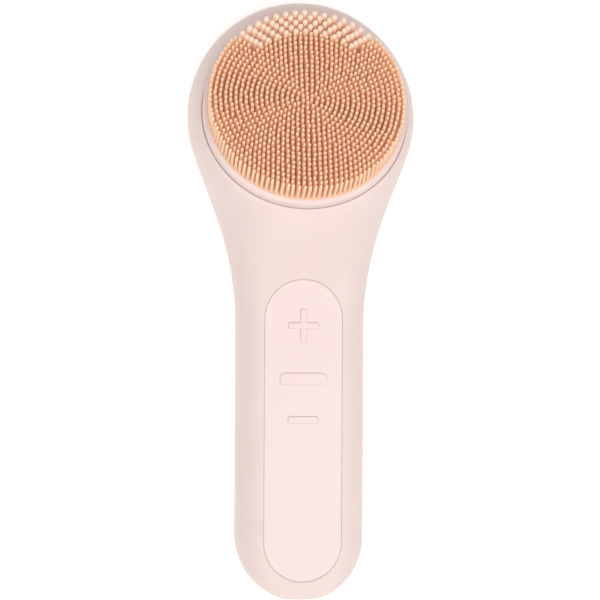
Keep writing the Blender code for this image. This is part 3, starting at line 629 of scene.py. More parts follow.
@dataclass
class BodyForm:
    """The outer form: a straight handle, a flaring neck and a round head that tips back.

    The attributes are its driving sizes, in metres. Each ring of the form is a squared ellipse, flattened by
    the front and back planes.
    """

    handle_half_width: float = 18.15 * MM
    handle_end_y: float = -85.0 * MM
    head_half_width: float = 32.15 * MM
    head_centre_y: float = 52.3 * MM
    head_top_y: float = 85.0 * MM
    taper: float = radians(20.3)
    neck_fillet: float = 90.0 * MM
    widest_z: float = 13.0 * MM
    handle_front_z: float = 28.5 * MM
    handle_front_wall: float = 4.8 * MM
    front_swell: float = 1.5 * MM
    back_swell: float = 1.2 * MM
    neck_start_y: float = 1.0 * MM
    front_end_round: float = 5.0 * MM
    back_end_round: float = 12.0 * MM
    head_back_round: float = 27.0 * MM
    edge_blend: float = 1.2 * MM
    handle_power: float = 3.0
    head_power: float = 2.5
    back_power: float = 2.6
    lip_radius: float = 29.7 * MM
    pocket_depth: float = 6.0 * MM
    end_closing: float = radians(87)
    parting_z: float = 10.8 * MM
    parting_rises: tuple[float, ...] = (-0.5 * MM, -0.12 * MM, 0.0, 0.12 * MM, 0.5 * MM)
    parting_dip: float = 0.13 * MM
    parting_reach: float = 0.2 * MM
    steepest_edge: float = radians(80)
    neck_rings_y: float = -6.0 * MM
    side_crowding: float = 1.5
    front_crowding: float = 1.7
    lip_reach: float = field(init=False)

    def __post_init__(self) -> None:
        """Works out how far the round lip reaches along the body."""
        self.lip_reach = self.lip_radius * cos(HEAD_TILT)

    def half_width(self, y: float, inset: float = 0.0) -> float:
        """Half the body's width: end arc, straight handle, fillet, straight taper, head circle."""
        handle = self.handle_half_width - inset
        head = self.head_half_width - inset
        end_centre = self.handle_end_y + self.handle_half_width
        if y < end_centre:
            return sqrt(max(handle ** 2 - (end_centre - y) ** 2, 0.0))
        if y > self.head_centre_y:
            share = (y - self.head_centre_y) / (self.head_top_y - self.head_centre_y - inset)
            return head * sqrt(max(1 - share ** 2, 0.0))
        if y > self.head_centre_y - head * sin(self.taper):
            return sqrt(head ** 2 - (y - self.head_centre_y) ** 2)
        curve = self.neck_fillet + inset
        corner_y = self.head_centre_y - (head / cos(self.taper) - handle) / tan(self.taper)
        curve_start = corner_y - curve * tan(self.taper / 2)
        if y > curve_start + curve * sin(self.taper):
            return head / cos(self.taper) - (self.head_centre_y - y) * tan(self.taper)
        if y > curve_start:
            return handle + curve - sqrt(curve ** 2 - (y - curve_start) ** 2)
        return handle

    def rim_height(self, y: float) -> float:
        """The height of the plane of the brush head's rim."""
        return HEAD_CENTRE.z - (y - HEAD_CENTRE.y) * tan(HEAD_TILT)

    def front_limit(self, y: float, inset: float = 0.0) -> float:
        """The front on the middle line: flat handle, rising neck, tilted head, round top."""
        lip_low = HEAD_CENTRE.y - self.lip_reach
        lip_high = HEAD_CENTRE.y + self.lip_reach
        inner = inset > 0
        handle = self.handle_front_z - (self.handle_front_wall if inner else 0.0)
        drop = self.pocket_depth / cos(HEAD_TILT) if inner else 0.0
        if y < lip_low:
            rise = smoothstep(y, self.neck_start_y, lip_low)
            return handle + (self.rim_height(lip_low) - drop - handle) * rise
        if y < lip_high or inner:
            return self.rim_height(y) - drop
        share = (y - lip_high) / (self.head_top_y - lip_high)
        top = self.rim_height(lip_high) - self.widest_z
        return self.widest_z + top * sqrt(max(1 - share ** 2, 0.0))

    def front_power(self, y: float) -> float:
        """How square the front half of the section is."""
        share = smoothstep(y, 0.0, HEAD_CENTRE.y - self.lip_reach)
        return self.handle_power + (self.head_power - self.handle_power) * share

    def front_crown(self, y: float) -> float:
        """The height that the section would reach uncut: its sides pass through the edge of the round lip."""
        power = self.front_power(y)
        across = max(self.lip_radius ** 2 - ((y - HEAD_CENTRE.y) / cos(HEAD_TILT)) ** 2, 0.0)
        share = min(sqrt(across) / max(self.half_width(y), MM), 0.97)
        reach = (1 - share ** power) ** (1 / power)
        handle_share = 1 - smoothstep(y, self.neck_start_y, HEAD_CENTRE.y - self.lip_reach)
        rise = (self.front_limit(y) - self.widest_z) / reach
        return self.widest_z + rise + self.front_swell * handle_share

    def end_share(self, past: float, length: float) -> float:
        """Falls from 1 to 0 along a quarter ellipse as a distance past its start reaches its length."""
        return sqrt(max(1 - (max(past, 0.0) / length) ** 2, 0.0))

    def soft_min(self, first: float, second: float) -> float:
        """The lower of two heights, rounded where they cross."""
        near = max(self.edge_blend - abs(first - second), 0.0)
        return min(first, second) - near * near / (4 * self.edge_blend)

    def section(self, y: float, inset: float, counts: tuple[int, int, int]) -> list[Vector]:
        """One closed ring of the body.

        Args:
            y: Where it stands along the body.
            inset: How far inside the outer surface it lies.
            counts: How many points its back, side and front have on each side.

        Returns:
            The ring's points, anticlockwise from the back of the right side.
        """
        width = self.half_width(y, inset)
        front_end = self.end_share(self.handle_end_y + self.front_end_round - y, self.front_end_round - inset)
        back_end = self.end_share(self.handle_end_y + self.back_end_round - y, self.back_end_round - inset)
        back_end *= self.end_share(y - self.head_top_y + self.head_back_round, self.head_back_round - inset)
        front = (self.front_crown(y) - inset - self.widest_z) * front_end
        limit = self.widest_z + (self.front_limit(y, inset) - self.widest_z) * front_end
        back = (self.widest_z + self.back_swell - inset) * back_end
        floor = self.widest_z - (self.widest_z - inset) * back_end
        power = self.front_power(y)
        flat_share = min(max((limit - self.widest_z) / front, 0.0), 1.0) if front > 0 else 1.0
        edge = min(asin(flat_share ** (power / 2)), self.steepest_edge)
        half = []
        for angle in self.section_angles(edge, back, counts):
            if angle > 0:
                across = width * abs(cos(angle)) ** (2 / power)
                height = self.soft_min(self.widest_z + front * sin(angle) ** (2 / power), limit)
            else:
                across = width * abs(cos(angle)) ** (2 / self.back_power)
                depth = back * abs(sin(angle)) ** (2 / self.back_power)
                height = -self.soft_min(depth - self.widest_z, -floor)
                if inset == 0 and abs(height - self.parting_z) < self.parting_reach:
                    across -= min(self.parting_dip, 0.1 * across)
            half.append((across, height))
        right = [Vector((x, y, z)) for x, z in half]
        return right + [Vector((-x, y, z)) for x, z in reversed(half)]

    def back_angles(self, back: float, count: int) -> list[float]:
        """Angles up the back, with a close group across the parting line, whose edges it softens."""
        group = []
        for index, rise in enumerate(self.parting_rises):
            share = (self.widest_z - self.parting_z - rise) / max(back, 0.1 * MM)
            group.append(-asin(min(share, 0.95 - 0.06 * index) ** (self.back_power / 2)))
        low = [-pi / 2 + (group[0] + pi / 2) * (i + 0.5) / count for i in range(count)]
        return low + group + [group[-1] * (1 - i / 4) for i in (1, 2, 3)]

    def section_angles(self, edge: float, back: float, counts: tuple[int, int, int]) -> list[float]:
        """Angles up the right side, from the back to the front, closest together at the front's edge.

        Args:
            edge: The angle at which the front plane cuts the section.
            back: How deep the back is.
            counts: How many points the back, side and front have.

        Returns:
            The angles, rising.
        """
        low, side, top = counts
        angles = self.back_angles(back, low)
        angles += [edge * (1 - (1 - i / side) ** self.side_crowding) for i in range(side)]
        left = pi / 2 - edge
        return angles + [edge + left * ((i + 0.3) / top) ** self.front_crowding for i in range(top)]

    def stations(self, inset: float, detail: int) -> list[float]:
        """Where the rings stand along the body, closer together where the outline curves."""
        end_centre = self.handle_end_y + self.handle_half_width
        end_length = self.handle_half_width - inset
        lip_low = HEAD_CENTRE.y - self.lip_reach
        steps = 3 * detail
        places = [end_centre - end_length * sin(self.end_closing * (1 - i / steps)) for i in range(steps)]
        places += list(np.linspace(end_centre, self.neck_rings_y, 4 * detail, endpoint=False))
        places += list(np.linspace(self.neck_rings_y, lip_low, 4 * detail, endpoint=False))
        rounds = 7 * detail
        places += [HEAD_CENTRE.y - self.lip_reach * cos(pi * i / rounds) for i in range(rounds + 1)]
        top = self.head_top_y - inset - places[-1]
        closing = [sin(self.end_closing * (i + 1) / (2 * detail)) for i in range(2 * detail)]
        return places + [places[-1] + top * share for share in closing]

    def rings(self, inset: float, counts: tuple[int, int, int], detail: int) -> list[list[Vector]]:
        """All rings of the form at an inset."""
        return [self.section(y, inset, counts) for y in self.stations(inset, detail)]


@dataclass
class BodyShells:
    """The front and rear shells, with the head's pocket, the panel's recess and the parting line between.

    Heights of the pocket and of what is cut below it are measured from the plane of the head's rim.

    Attributes:
        form: The outer form.
        finish: The silicone that covers both shells.
        panel: The shape of the inlaid panel.
        openings: Where the keys' stems pass, along the handle.
        outer_counts: Points on the back, side and front of each outer ring.
        inner_counts: The same for the hollow.
        detail: How close together the outer rings stand.
        inner_detail: The same for the hollow.
    """

    form: BodyForm
    finish: Finish
    panel: SlotShape
    openings: Sequence[float]
    wall: float = 2.4 * MM
    gap: float = 0.3 * MM
    hollow_top_y: float = 74.0 * MM
    pocket_radius: float = 28.68 * MM
    pocket_depth: float = 4.2 * MM
    lip_round: float = 0.45 * MM
    recess_floor_z: float = 25.3 * MM
    recess_gap: float = 0.03 * MM
    recess_round: float = 0.3 * MM
    stem_radius: float = 3.1 * MM
    stem_low_z: float = 23.2 * MM
    stem_high_z: float = 28.0 * MM
    pocket_floor_round: float = 0.6 * MM
    pocket_centre: float = 2.0 * MM
    hub_hole_radius: float = 7.0 * MM
    below_pocket: float = -10.0 * MM
    screw_hole_top: float = -4.9 * MM
    screw_circle: float = 16.2 * MM
    screw_hole_radius: float = 1.2 * MM
    pin_hole_radius: float = 1.5 * MM
    pin_hole_round: float = 0.3 * MM
    outer_counts: tuple[int, int, int] = (12, 12, 16)
    inner_counts: tuple[int, int, int] = (8, 6, 8)
    detail: int = 6
    inner_detail: int = 3

    def half(self, name: str, front: bool) -> bpy.types.Object:
        """One half of the outer form, parted at the parting plane.

        Args:
            name: The piece's name.
            front: Whether to keep the front half instead of the rear one.

        Returns:
            The solid half.
        """
        piece = new_piece(name, ring_mesh(name, self.form.rings(0.0, self.outer_counts, self.detail)))
        far = 120 * MM
        low, high = (-far, self.gap / 2) if front else (-self.gap / 2, far)
        levels = [(0.0, self.form.parting_z + low), (0.0, self.form.parting_z + high)]
        cut(piece, [SlotShape(far, far, MM, 0.0).stacked("other_half", levels)])
        return piece

    def hollow(self) -> bpy.types.Mesh:
        """The space inside both shells."""
        rings = self.form.rings(self.wall, self.inner_counts, self.inner_detail)
        kept = [ring for ring in rings if ring[0].y < self.hollow_top_y]
        kept.append(self.form.section(self.hollow_top_y, self.wall, self.inner_counts))
        return ring_mesh("hollow", kept)

    def pocket(self) -> bpy.types.Mesh:
        """The head's round pocket, with its mouth rounded outwards."""
        mouth = self.pocket_radius + self.lip_round
        curve = fillet((self.pocket_radius, -self.lip_round), (mouth, 0.0), 6, hollow=True)
        bottom, rise = -self.pocket_depth, self.pocket_floor_round
        floor = fillet((self.pocket_radius - rise, bottom), (self.pocket_radius, bottom + rise), 4)
        profile = [(self.pocket_centre, bottom), *floor, *curve, (mouth + 0.1 * MM, 20 * MM)]
        return turned_mesh("pocket", profile, HEAD_AXIS, 192)

    def recess(self) -> bpy.types.Mesh:
        """The panel's recess, with its edge rounded outwards."""
        front = self.form.handle_front_z
        inner, outer = self.recess_gap, self.recess_gap + self.recess_round
        curve = fillet((inner, front - self.recess_round), (outer, front), 4, hollow=True)
        return self.panel.stacked("recess", [(inner, self.recess_floor_z), *curve, (outer, front + 4 * MM)])

    def holes_below_pocket(self) -> list[bpy.types.Mesh]:
        """The hub's hole and the three screw holes, in the pocket's floor."""
        hub = [(self.hub_hole_radius, self.below_pocket), (self.hub_hole_radius, 0.0)]
        holes = [turned_mesh("hub_hole", hub, HEAD_AXIS, 48)]
        screw = [(self.screw_hole_radius, self.below_pocket), (self.screw_hole_radius, self.screw_hole_top)]
        for index in range(3):
            angle = pi / 2 + 2 * pi * index / 3
            middle = (self.screw_circle * cos(angle), self.screw_circle * sin(angle), 0)
            holes.append(turned_mesh("screw_hole", screw, HEAD_AXIS @ Matrix.Translation(middle), 16))
        return holes

    def stem_holes(self) -> list[bpy.types.Mesh]:
        """The holes that the keys' stems pass through."""
        side = [(self.stem_radius, self.stem_low_z), (self.stem_radius, self.stem_high_z)]
        return [turned_mesh("stem_hole", side, upright_at(y), 32) for y in self.openings]

    def pin_holes(self) -> list[bpy.types.Mesh]:
        """The holes of the charging pins, with their mouths rounded outwards."""
        radius, mouth = self.pin_hole_radius, self.pin_hole_radius + self.pin_hole_round
        rim = fillet((mouth, 0.0), (radius, self.pin_hole_round), 4)
        side = [(mouth, -2 * MM), *rim, (radius, 6 * MM)]
        holes = []
        for node in ("charge_pin_left", "charge_pin_right"):
            low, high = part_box(node)
            place = Matrix.Translation(((low.x + high.x) / 2, (low.y + high.y) / 2, 0))
            holes.append(turned_mesh("pin_hole", side, place, 32))
        return holes

    def build(self) -> None:
        """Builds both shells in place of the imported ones."""
        front = self.half("front_shell_skin", True)
        hub, *screws = self.holes_below_pocket()
        cut(front, [self.pocket(), self.recess(), self.hollow(), hub, *self.stem_holes(), *screws])
        rear = self.half("rear_shell_skin", False)
        cut(rear, [self.hollow(), *self.pin_holes()])
        for shell, node in ((front, "front_shell"), (rear, "rear_shell")):
            finish_cut_piece(shell)
            place_piece(shell, "body", self.finish, [node])


# The control panel and its keys

@dataclass(frozen=True)
class KeySign:
    """A key's sign: the strokes that show through the panel.

    Attributes:
        node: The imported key.
        body: The body that it moves with.
        strokes: Width and height of each stroke, in metres.
        corner: The radius of the strokes' corners.
    """

    node: str
    body: str
    strokes: tuple[Point, ...]
    corner: float

    def centre_y(self) -> float:
        """Where the key lies along the handle."""
        low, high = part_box(self.node)
        return (low.y + high.y) / 2

    def shapes(self) -> list[SlotShape]:
        """The strokes as shapes that can be offset."""
        y = self.centre_y()
        return [
            SlotShape(width / 2, height / 2, min(self.corner, width / 2, height / 2), y)
            for width, height in self.strokes
        ]


@dataclass
class ControlPanel:
    """The long inlay of smoother silicone, with the keys standing a little proud of its face.

    Heights on a key are measured from its foot.

    Attributes:
        shape: The panel's outline.
        keys: The signs that are cut through it.
        finish: The panel's silicone.
        key_finish: The keys' silicone.
        edge_round: The radius of the panel's outer edge.
        opening_round: The radius of the edge of each opening.
        key_gap: The gap round each key.
        key_round: The radius of each sign's edge.
        plate_corner: The radius of the corners of the plate behind the panel.
        plate_edge: The bevel round the plate.
        sign_root: How far a sign runs into its plate.
        stem_root: How far the stem stops below the plate's top.
    """

    shape: SlotShape
    keys: Sequence[KeySign]
    finish: Finish
    key_finish: Finish
    edge_round: float = 0.3 * MM
    opening_round: float = 0.03 * MM
    key_gap: float = 0.02 * MM
    key_round: float = 0.32 * MM
    plate_bottom: float = 1.4 * MM
    plate_top: float = 2.2 * MM
    plate_corner: float = 1.5 * MM
    plate_edge: float = 0.15 * MM
    sign_root: float = 0.4 * MM
    stem_radius: float = 2.5 * MM
    stem_root: float = 0.3 * MM

    def build_panel(self) -> None:
        """Builds the inlay with its openings."""
        low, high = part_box("control_panel")
        edge = fillet((0.0, high.z - self.edge_round), (-self.edge_round, high.z), 5, hollow=True)
        piece = new_piece("panel_inlay", self.shape.stacked("panel_inlay", [(0.0, low.z), *edge]))
        top = high.z
        levels = [
            (0.0, low.z - MM),
            *fillet((0.0, top - self.opening_round), (self.opening_round, top), 5, hollow=True),
            (self.opening_round + 0.02 * MM, top + MM),
        ]
        for key in self.keys:
            openings = [shape.stacked(f"{key.node}_opening", levels) for shape in key.shapes()]
            cut(piece, openings)
        finish_cut_piece(piece)
        place_piece(piece, "body", self.finish, ["control_panel"])

    def build_key(self, key: KeySign) -> None:
        """Builds one key: its sign, the plate behind the panel and its stem."""
        low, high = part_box(key.node)
        middle = key.centre_y()
        base_low, base_top = low.z + self.plate_bottom, low.z + self.plate_top
        base = SlotShape((high.x - low.x) / 2, (high.y - low.y) / 2, self.plate_corner, middle)
        edge = self.plate_edge
        plate = base.stacked(
            key.node, [(-edge, base_low), (0.0, base_low + edge), (0.0, base_top - edge), (-edge, base_top)]
        )
        piece = new_piece(f"{key.node}_cap", plate)
        side, curve = -self.key_gap, self.key_round
        rounded = fillet((side, high.z - curve), (side - curve, high.z), 4, hollow=True)
        levels = [(side, base_top - self.sign_root), *rounded]
        signs = [shape.stacked(f"{key.node}_sign", levels) for shape in key.shapes()]
        stem_side = [(self.stem_radius, low.z), (self.stem_radius, base_top - self.stem_root)]
        stem = turned_mesh(f"{key.node}_stem", stem_side, upright_at(middle), 32)
        cut(piece, [*signs, stem], join=True)
        finish_cut_piece(piece)
        place_piece(piece, key.body, self.key_finish, [key.node])

    def build(self) -> None:
        """Builds the inlay and all keys."""
        self.build_panel()
        for key in self.keys:
            self.build_key(key)


# The brush head

@dataclass
class BrushHead:
    """The round pad and what stands on it: rings of fine bristles, and a crescent of thick ones at the top.

    Attributes:
        pad_finish: The pad's silicone.
        bristle_finish: The fine bristles' silicone.
        contour_finish: The thick bristles' finish: the peach silicone made paler, painted light for the lesser
            shade among thick bristles.
        ring_pitch: The distance from one ring of bristles to the next.
        ring_count: How many rings there are; ring n holds six times n bristles.
        contour_rings: The outer rings that are thick within the crescent.
        contour_span: Half the crescent's angle, from the top.
        lean: How far the bristles lean at random, as a standard deviation.
        lean_seed: The start of the random leans.
        root_flare: Shares of the radius with their heights, from a bristle's root up.
        waist_share: The share of the radius that is left at the waist.
        waist_height: The waist's height as a share of the length.
        tip_share: The radius of the round tip as a share of the radius.
        tip_angles: Where the tip's rings lie on its dome.
        hem_round: The radius of the skirt's lower edge.
        pad_roof: How far the pad's inner roof lies below the plane of the head's rim.
        pad_rings: Radii of the rings across the pad's flat top.
        base_rings: The same across the base of the bristles.
        base_sink: How far the base runs into the pad.
    """

    pad_finish: Finish
    bristle_finish: Finish
    contour_finish: Finish
    pad_radius: float = 28.6 * MM
    pad_top: float = 3.0 * MM
    pad_skirt: float = 3.3 * MM
    pad_edge: float = 0.9 * MM
    carrier_radius: float = 27.5 * MM
    ring_pitch: float = 1.41 * MM
    ring_count: int = 19
    fine_radius: float = 0.51 * MM
    fine_length: float = 7.9 * MM
    contour_radius: float = 0.88 * MM
    contour_inset: float = 0.6 * MM
    contour_length: float = 8.0 * MM
    contour_pitch: float = 2.75 * MM
    contour_rings: int = 5
    contour_span: float = radians(45)
    lean: float = radians(0.6)
    lean_seed: int = 11
    root_flare: tuple[Point, ...] = ((1.5, -0.1 * MM), (1.22, 0.12 * MM), (1.04, 0.45 * MM), (1.0, 1.2 * MM))
    waist_share: float = 0.95
    waist_height: float = 0.6
    tip_share: float = 0.9
    tip_angles: tuple[float, ...] = (0.0, 0.45, 0.9, 1.25)
    hem_round: float = 0.2 * MM
    pad_roof: float = 1.0 * MM
    pad_rings: tuple[float, ...] = (4 * MM, 12 * MM, 20 * MM)
    base_rings: tuple[float, ...] = (4 * MM, 14 * MM)
    base_sink: float = 0.05 * MM
    base_radius: float = 27.35 * MM
    base_height: float = 0.12 * MM

    def build_pad(self) -> None:
        """Builds the pad: a flat top, a rounded rim and a skirt over the carrier."""
        top, outer, foot = self.pad_top, self.pad_radius, -self.pad_skirt
        rim = fillet((outer - self.pad_edge, top), (outer, top - self.pad_edge), 8)
        hem = fillet((outer, foot + self.hem_round), (outer - self.hem_round, foot), 3, hollow=True)
        profile = [
            *((radius, top) for radius in self.pad_rings), *rim, *hem, (self.carrier_radius, foot),
            (self.carrier_radius, -self.pad_roof), (self.pad_rings[0], -self.pad_roof),
        ]
        piece = new_piece("brush_pad_moulding", turned_mesh("brush_pad_moulding", profile, HEAD_AXIS, 160))
        place_piece(piece, "head", self.pad_finish, ["brush_pad"])

    def build_base(self) -> None:
        """Builds the thin disc of bristle silicone that is moulded into the pad's top."""
        top, foot = self.pad_top + self.base_height, self.pad_top - self.base_sink
        edge = fillet((self.base_radius - self.base_height, top), (self.base_radius, self.pad_top), 3)
        profile = [*((radius, top) for radius in self.base_rings), *edge]
        profile += [(self.base_radius, foot), (self.base_rings[0], foot)]
        piece = new_piece("bristle_base", turned_mesh("bristle_base", profile, HEAD_AXIS, 144))
        place_piece(piece, "head", self.bristle_finish, ["bristle_field"])

    def bristle_profile(self, radius: float, length: float) -> list[Point]:
        """A bristle's side: flared root, slender taper, round tip."""
        tip = radius * self.tip_share
        root = [(radius * share, height) for share, height in self.root_flare]
        waist = (radius * self.waist_share, length * self.waist_height)
        dome = [(tip * cos(a), length - tip + tip * sin(a)) for a in self.tip_angles]
        return [*root, waist, *dome]

    def bristle_faces(self, levels: int, sides: int) -> list[tuple[int, ...]]:
        """The faces of one bristle: its side, its tip and its foot."""
        faces = []
        for level in range(levels - 1):
            lower, upper = level * sides, (level + 1) * sides
            for i in range(sides):
                j = (i + 1) % sides
                faces.append((lower + i, lower + j, upper + j, upper + i))
        last = (levels - 1) * sides
        faces += [(last + i, last + (i + 1) % sides, levels * sides) for i in range(sides)]
        return faces + [tuple(reversed(range(sides)))]

    def stand(self, name: str, feet: Sequence[Point], radius: float, length: float,
              sides: int) -> bpy.types.Object:
        """Stands one bristle on each foot.

        Args:
            name: The piece's name.
            feet: Where the bristles stand on the pad.
            radius: Their radius above the root.
            length: Their length.
            sides: How many flat sides make each one round.

        Returns:
            One piece that holds them all.
        """
        profile = self.bristle_profile(radius, length)
        angles = np.arange(sides) * 2 * pi / sides
        rings = [(r * cos(a), r * sin(a), h) for r, h in profile for a in angles]
        template = np.array([*rings, (0.0, 0.0, length)])
        faces = self.bristle_faces(len(profile), sides)
        count = len(template)
        chance = np.random.default_rng(self.lean_seed)
        points, polygons = [], []
        for index, (x, y) in enumerate(feet):
            leans = chance.normal(0.0, self.lean, 2)
            spin = chance.uniform(0.0, 2 * pi)
            turn = np.array([[cos(spin), -sin(spin), 0], [sin(spin), cos(spin), 0], [0, 0, 1]])
            one = template @ turn.T
            one[:, 0] += x + one[:, 2] * leans[0]
            one[:, 1] += y + one[:, 2] * leans[1]
            one[:, 2] += self.pad_top
            points.append(one)
            polygons += [tuple(index * count + corner for corner in face) for face in faces]
        matrix = np.array(HEAD_AXIS)
        placed = np.vstack(points) @ matrix[:3, :3].T + matrix[:3, 3]
        mesh = bpy.data.meshes.new(name)
        mesh.from_pydata(placed.tolist(), [], polygons)
        mesh.update()
        return new_piece(name, mesh, radians(75))

    def in_crescent(self, ring: int, angle: float) -> bool:
        """Whether a place on a ring belongs to the thick bristles; the angle counts from the top."""
        return ring > self.ring_count - self.contour_rings and abs(angle) < self.contour_span

    def fine_feet(self) -> list[Point]:
        """Where the fine bristles stand."""
        feet = [(0.0, 0.0)]
        for ring in range(1, self.ring_count + 1):
            radius = ring * self.ring_pitch
            for step in range(6 * ring):
                angle = 2 * pi * step / (6 * ring)
                from_top = (angle + pi) % (2 * pi) - pi
                if not self.in_crescent(ring, from_top):
                    feet.append((radius * sin(angle), radius * cos(angle)))
        return feet

    def contour_feet(self) -> list[Point]:
        """Where the thick bristles stand: every other row is shifted by half a step."""
        feet = []
        for row in range(self.contour_rings):
            ring = self.ring_count - row
            radius = ring * self.ring_pitch - self.contour_inset
            step = self.contour_pitch / radius
            count = int(self.contour_span / step)
            shift = 0.5 * step if row % 2 else 0.0
            for index in range(-count, count + 1):
                angle = index * step + shift
                if abs(angle) < self.contour_span - 0.3 * step:
                    feet.append((radius * sin(angle), radius * cos(angle)))
        return feet

    def build(self) -> None:
        """Builds the pad and both kinds of bristles."""
        self.build_pad()
        self.build_base()
        fine = self.stand("fine_bristles", self.fine_feet(), self.fine_radius, self.fine_length, 8)
        place_piece(fine, "head", self.bristle_finish, ["bristle_field"])
        feet = self.contour_feet()
        thick = self.stand("contour_bristles", feet, self.contour_radius, self.contour_length, 14)
        place_piece(thick, "head", self.contour_finish, ["bristle_field"])


# What stays as packed

@dataclass
class InnerWorks:
    """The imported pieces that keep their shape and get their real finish.

    Attributes:
        finishes: Each finish with the nodes that wear it.
    """

    finishes: dict[Finish, tuple[str, ...]]

    def build(self) -> None:
        """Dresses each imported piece."""
        for finish, nodes in self.finishes.items():
            for name in nodes:
                packed = frame["nodes"][name]
                for material_slot in packed.material_slots:
                    material_slot.material = finish.material()
                LOG.info("%s: %s", name, finish.name)


# Light, floor and view

@dataclass
class Studio:
    """A pale table under one wide soft light, seen from almost straight above.

    Attributes:
        distance: From the camera to the brush's widest level.
        view_width: How much of that level the picture spans.
        aim: The point at the middle of the picture.
        side_turn: How far the camera stands towards the brush's left side.
        roll: How far the brush leans in the picture.
        floor_size: The table sheet's width.
        floor_flat: The share of its half width that lies flat.
        floor_curl: How fast it turns up beyond that.
        floor_drop: How far it lies below the brush.
        light_size: The wide light's width and depth.
        light_power: Its power, in watts.
        light_place: Where it hangs, a little towards the handle's end.
        room_light: The strength of the room's even light.
    """

    distance: float = 650 * MM
    view_width: float = 171.43 * MM
    aim: Vector = field(default_factory=lambda: Vector((0.27 * MM, 0.29 * MM, 13 * MM)))
    side_turn: float = radians(5.0)
    roll: float = radians(0.3)
    floor_size: float = 3.0
    floor_colour: str = "#f7f6f5"
    floor_flat: float = 0.8
    floor_curl: float = 0.5
    floor_drop: float = 0.02 * MM
    light_size: tuple[float, float] = (1.5, 1.1)
    light_power: float = 16.2
    light_place: tuple[float, float, float] = (0.02, -0.27, 1.33)
    room_light: float = 0.36
    room_colour: str = "#fdfcfb"

    def build_camera(self) -> None:
        """Adds the camera and makes it the scene's."""
        lens = bpy.data.cameras.new("camera")
        lens.sensor_width = 36.0
        lens.angle = 2 * atan(self.view_width / 2 / self.distance)
        lens.clip_start = 10 * MM
        camera = bpy.data.objects.new("camera", lens)
        bpy.context.scene.collection.objects.link(camera)
        turn = Matrix.Rotation(-self.side_turn, 4, "Y") @ Matrix.Rotation(self.roll, 4, "Z")
        out = turn @ Vector((0, 0, 1))
        camera.matrix_world = Matrix.Translation(self.aim + self.distance * out) @ turn
        bpy.context.scene.camera = camera

    def build_light(self) -> None:
        """Adds the wide light and the even light of the room."""
        panel = bpy.data.lights.new("soft_panel", "AREA")
        panel.shape = "RECTANGLE"
        panel.size, panel.size_y = self.light_size
        panel.energy = self.light_power
        lamp = bpy.data.objects.new("soft_panel", panel)
        bpy.context.scene.collection.objects.link(lamp)
        lamp.location = self.light_place
        lamp.rotation_euler = (-lamp.location).to_track_quat("-Z", "Y").to_euler()
        world = bpy.data.worlds.new("room")
        world.use_nodes = True
        background = world.node_tree.nodes["Background"]
        background.inputs["Color"].default_value = linear(self.room_colour)
        background.inputs["Strength"].default_value = self.room_light
        bpy.context.scene.world = world

    def build_floor(self) -> None:
        """Adds the table top: a wide sheet that turns up softly at its far edges."""
        steps = 24
        half = self.floor_size / 2
        grid = bmesh.new()
        bmesh.ops.create_grid(grid, x_segments=steps, y_segments=steps, size=half)
        for vert in grid.verts:
            beyond = max(vert.co.xy.length - self.floor_flat * half, 0.0)
            vert.co.z = beyond ** 2 * self.floor_curl - self.floor_drop
        mesh = bpy.data.meshes.new("table_top")
        grid.to_mesh(mesh)
        grid.free()
        floor = new_piece("table_top", mesh)
        paper = TablePaper("matt_table_paper", self.floor_colour, 0.85)
        mesh.materials.append(paper.material())

    def build(self) -> None:
        """Adds the camera, the light and the floor."""
        bpy.context.scene.view_settings.view_transform = "Standard"
        self.build_camera()
        self.build_light()
        self.build_floor()


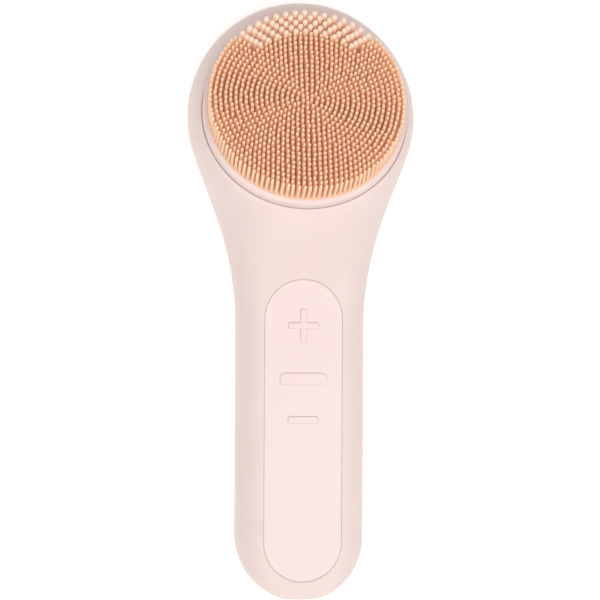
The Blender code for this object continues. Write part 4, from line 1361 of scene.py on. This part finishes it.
def inner_finishes() -> dict[Finish, tuple[str, ...]]:
    """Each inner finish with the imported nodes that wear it."""
    cell_low, cell_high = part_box("battery_cell")
    bare_foot, bare_cap = 1.0 * MM, 1.4 * MM
    sleeve = (cell_low.y + bare_foot, cell_high.y - bare_cap)
    axis = tuple(HEAD_NORMAL)
    keys = ("plus", "power", "minus")
    return {
        MouldedAbs("white_moulded_abs", "#e6e4df", 0.42): ("head_carrier", "drive_hub", "motor_end_cap"),
        MouldedAbs("grey_moulded_abs", "#94979a", 0.5): ("battery_cradle", "motor_bracket", "charging_block"),
        PressedRubber("black_nitrile_rubber", "#1b1b1c", 0.7): ("shell_gasket", "shaft_seal"),
        TurnedMetal("turned_steel", "#c9cbcd", 0.28): (
            "motor_can", "drive_shaft", "board_screw_1", "board_screw_2", "bracket_screw_1", "bracket_screw_2",
            "bracket_screw_3", *(f"{key}_plunger" for key in keys),
        ),
        TurnedMetal("nickelled_magnet", "#b5b3ae", 0.22, stain="#96948f"): (
            "rotor_magnet", "charge_magnet_left", "charge_magnet_right",
        ),
        TurnedMetal("gold_plated_brass", "#e8c06a", 0.2, stain="#c79c46"): (
            "front_bearing", "rear_bearing", "contact_negative", "contact_positive", "charge_pin_left",
            "charge_pin_right",
        ),
        WoundWire("enamelled_copper_wire", "#c9713a", 0.32, axis=axis): ("stator_coil",),
        SolderMask("green_solder_mask", "#0f4429", 0.4): ("circuit_board",),
        MouldedEpoxy("black_moulded_epoxy", "#191a1c", 0.55): (
            "control_chip", *(f"{key}_switch_case" for key in keys),
        ),
        SleevedCell("sleeved_cell", "#2d5f96", 0.3, ends=sleeve): ("battery_cell",),
        DrawnPvc("red_drawn_pvc", "#b1241c", 0.4): ("battery_lead_red", "motor_lead_red"),
        DrawnPvc("black_drawn_pvc", "#1d1d1f", 0.4): ("battery_lead_black", "motor_lead_black"),
    }


def main() -> None:
    """Builds the light and view, then every sub-assembly in order."""
    logging.basicConfig(level=logging.INFO, format="%(message)s")
    blush = PressedSilicone("blush_pressed_silicone", "#f0ddd8", 0.56, shade="#edd9d3")
    smooth_blush = PressedSilicone("panel_pressed_silicone", "#f6e1dd", 0.5, shade="#f4deda", grain_mm=0.24)
    along = HEAD_CENTRE.dot(HEAD_NORMAL)
    root_height, tip_height = 3.0 * MM, 10.8 * MM
    peach = BristleSilicone(
        "peach_bristle_silicone", "#ffd6b6", 0.5, axis=tuple(HEAD_NORMAL),
        span=(along + root_height, along + tip_height),
    )
    # A paler copy of the peach silicone: painted light, standing for the thick bristles shading themselves
    # less.
    painted_light_peach = replace(peach, name="pale_peach_bristle_silicone", colour="#ffe0cc", middle="#ffd8c0")
    panel_low, panel_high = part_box("control_panel")
    half_width = (panel_high.x - panel_low.x) / 2
    panel_shape = SlotShape(
        half_width, (panel_high.y - panel_low.y) / 2, half_width, (panel_high.y + panel_low.y) / 2
    )
    keys = (
        KeySign("plus_key", "plus_button", ((8.6 * MM, 1.8 * MM), (1.8 * MM, 9.4 * MM)), 0.5 * MM),
        KeySign("power_key", "power_button", ((13.3 * MM, 3.4 * MM),), 1.7 * MM),
        KeySign("minus_key", "minus_button", ((8.6 * MM, 2.0 * MM),), 0.6 * MM),
    )
    Studio().build()
    BodyShells(BodyForm(), blush, panel_shape, [key.centre_y() for key in keys]).build()
    ControlPanel(panel_shape, keys, smooth_blush, smooth_blush).build()
    BrushHead(blush, peach, painted_light_peach).build()
    InnerWorks(inner_finishes()).build()


if __name__ == "__main__":
    main()
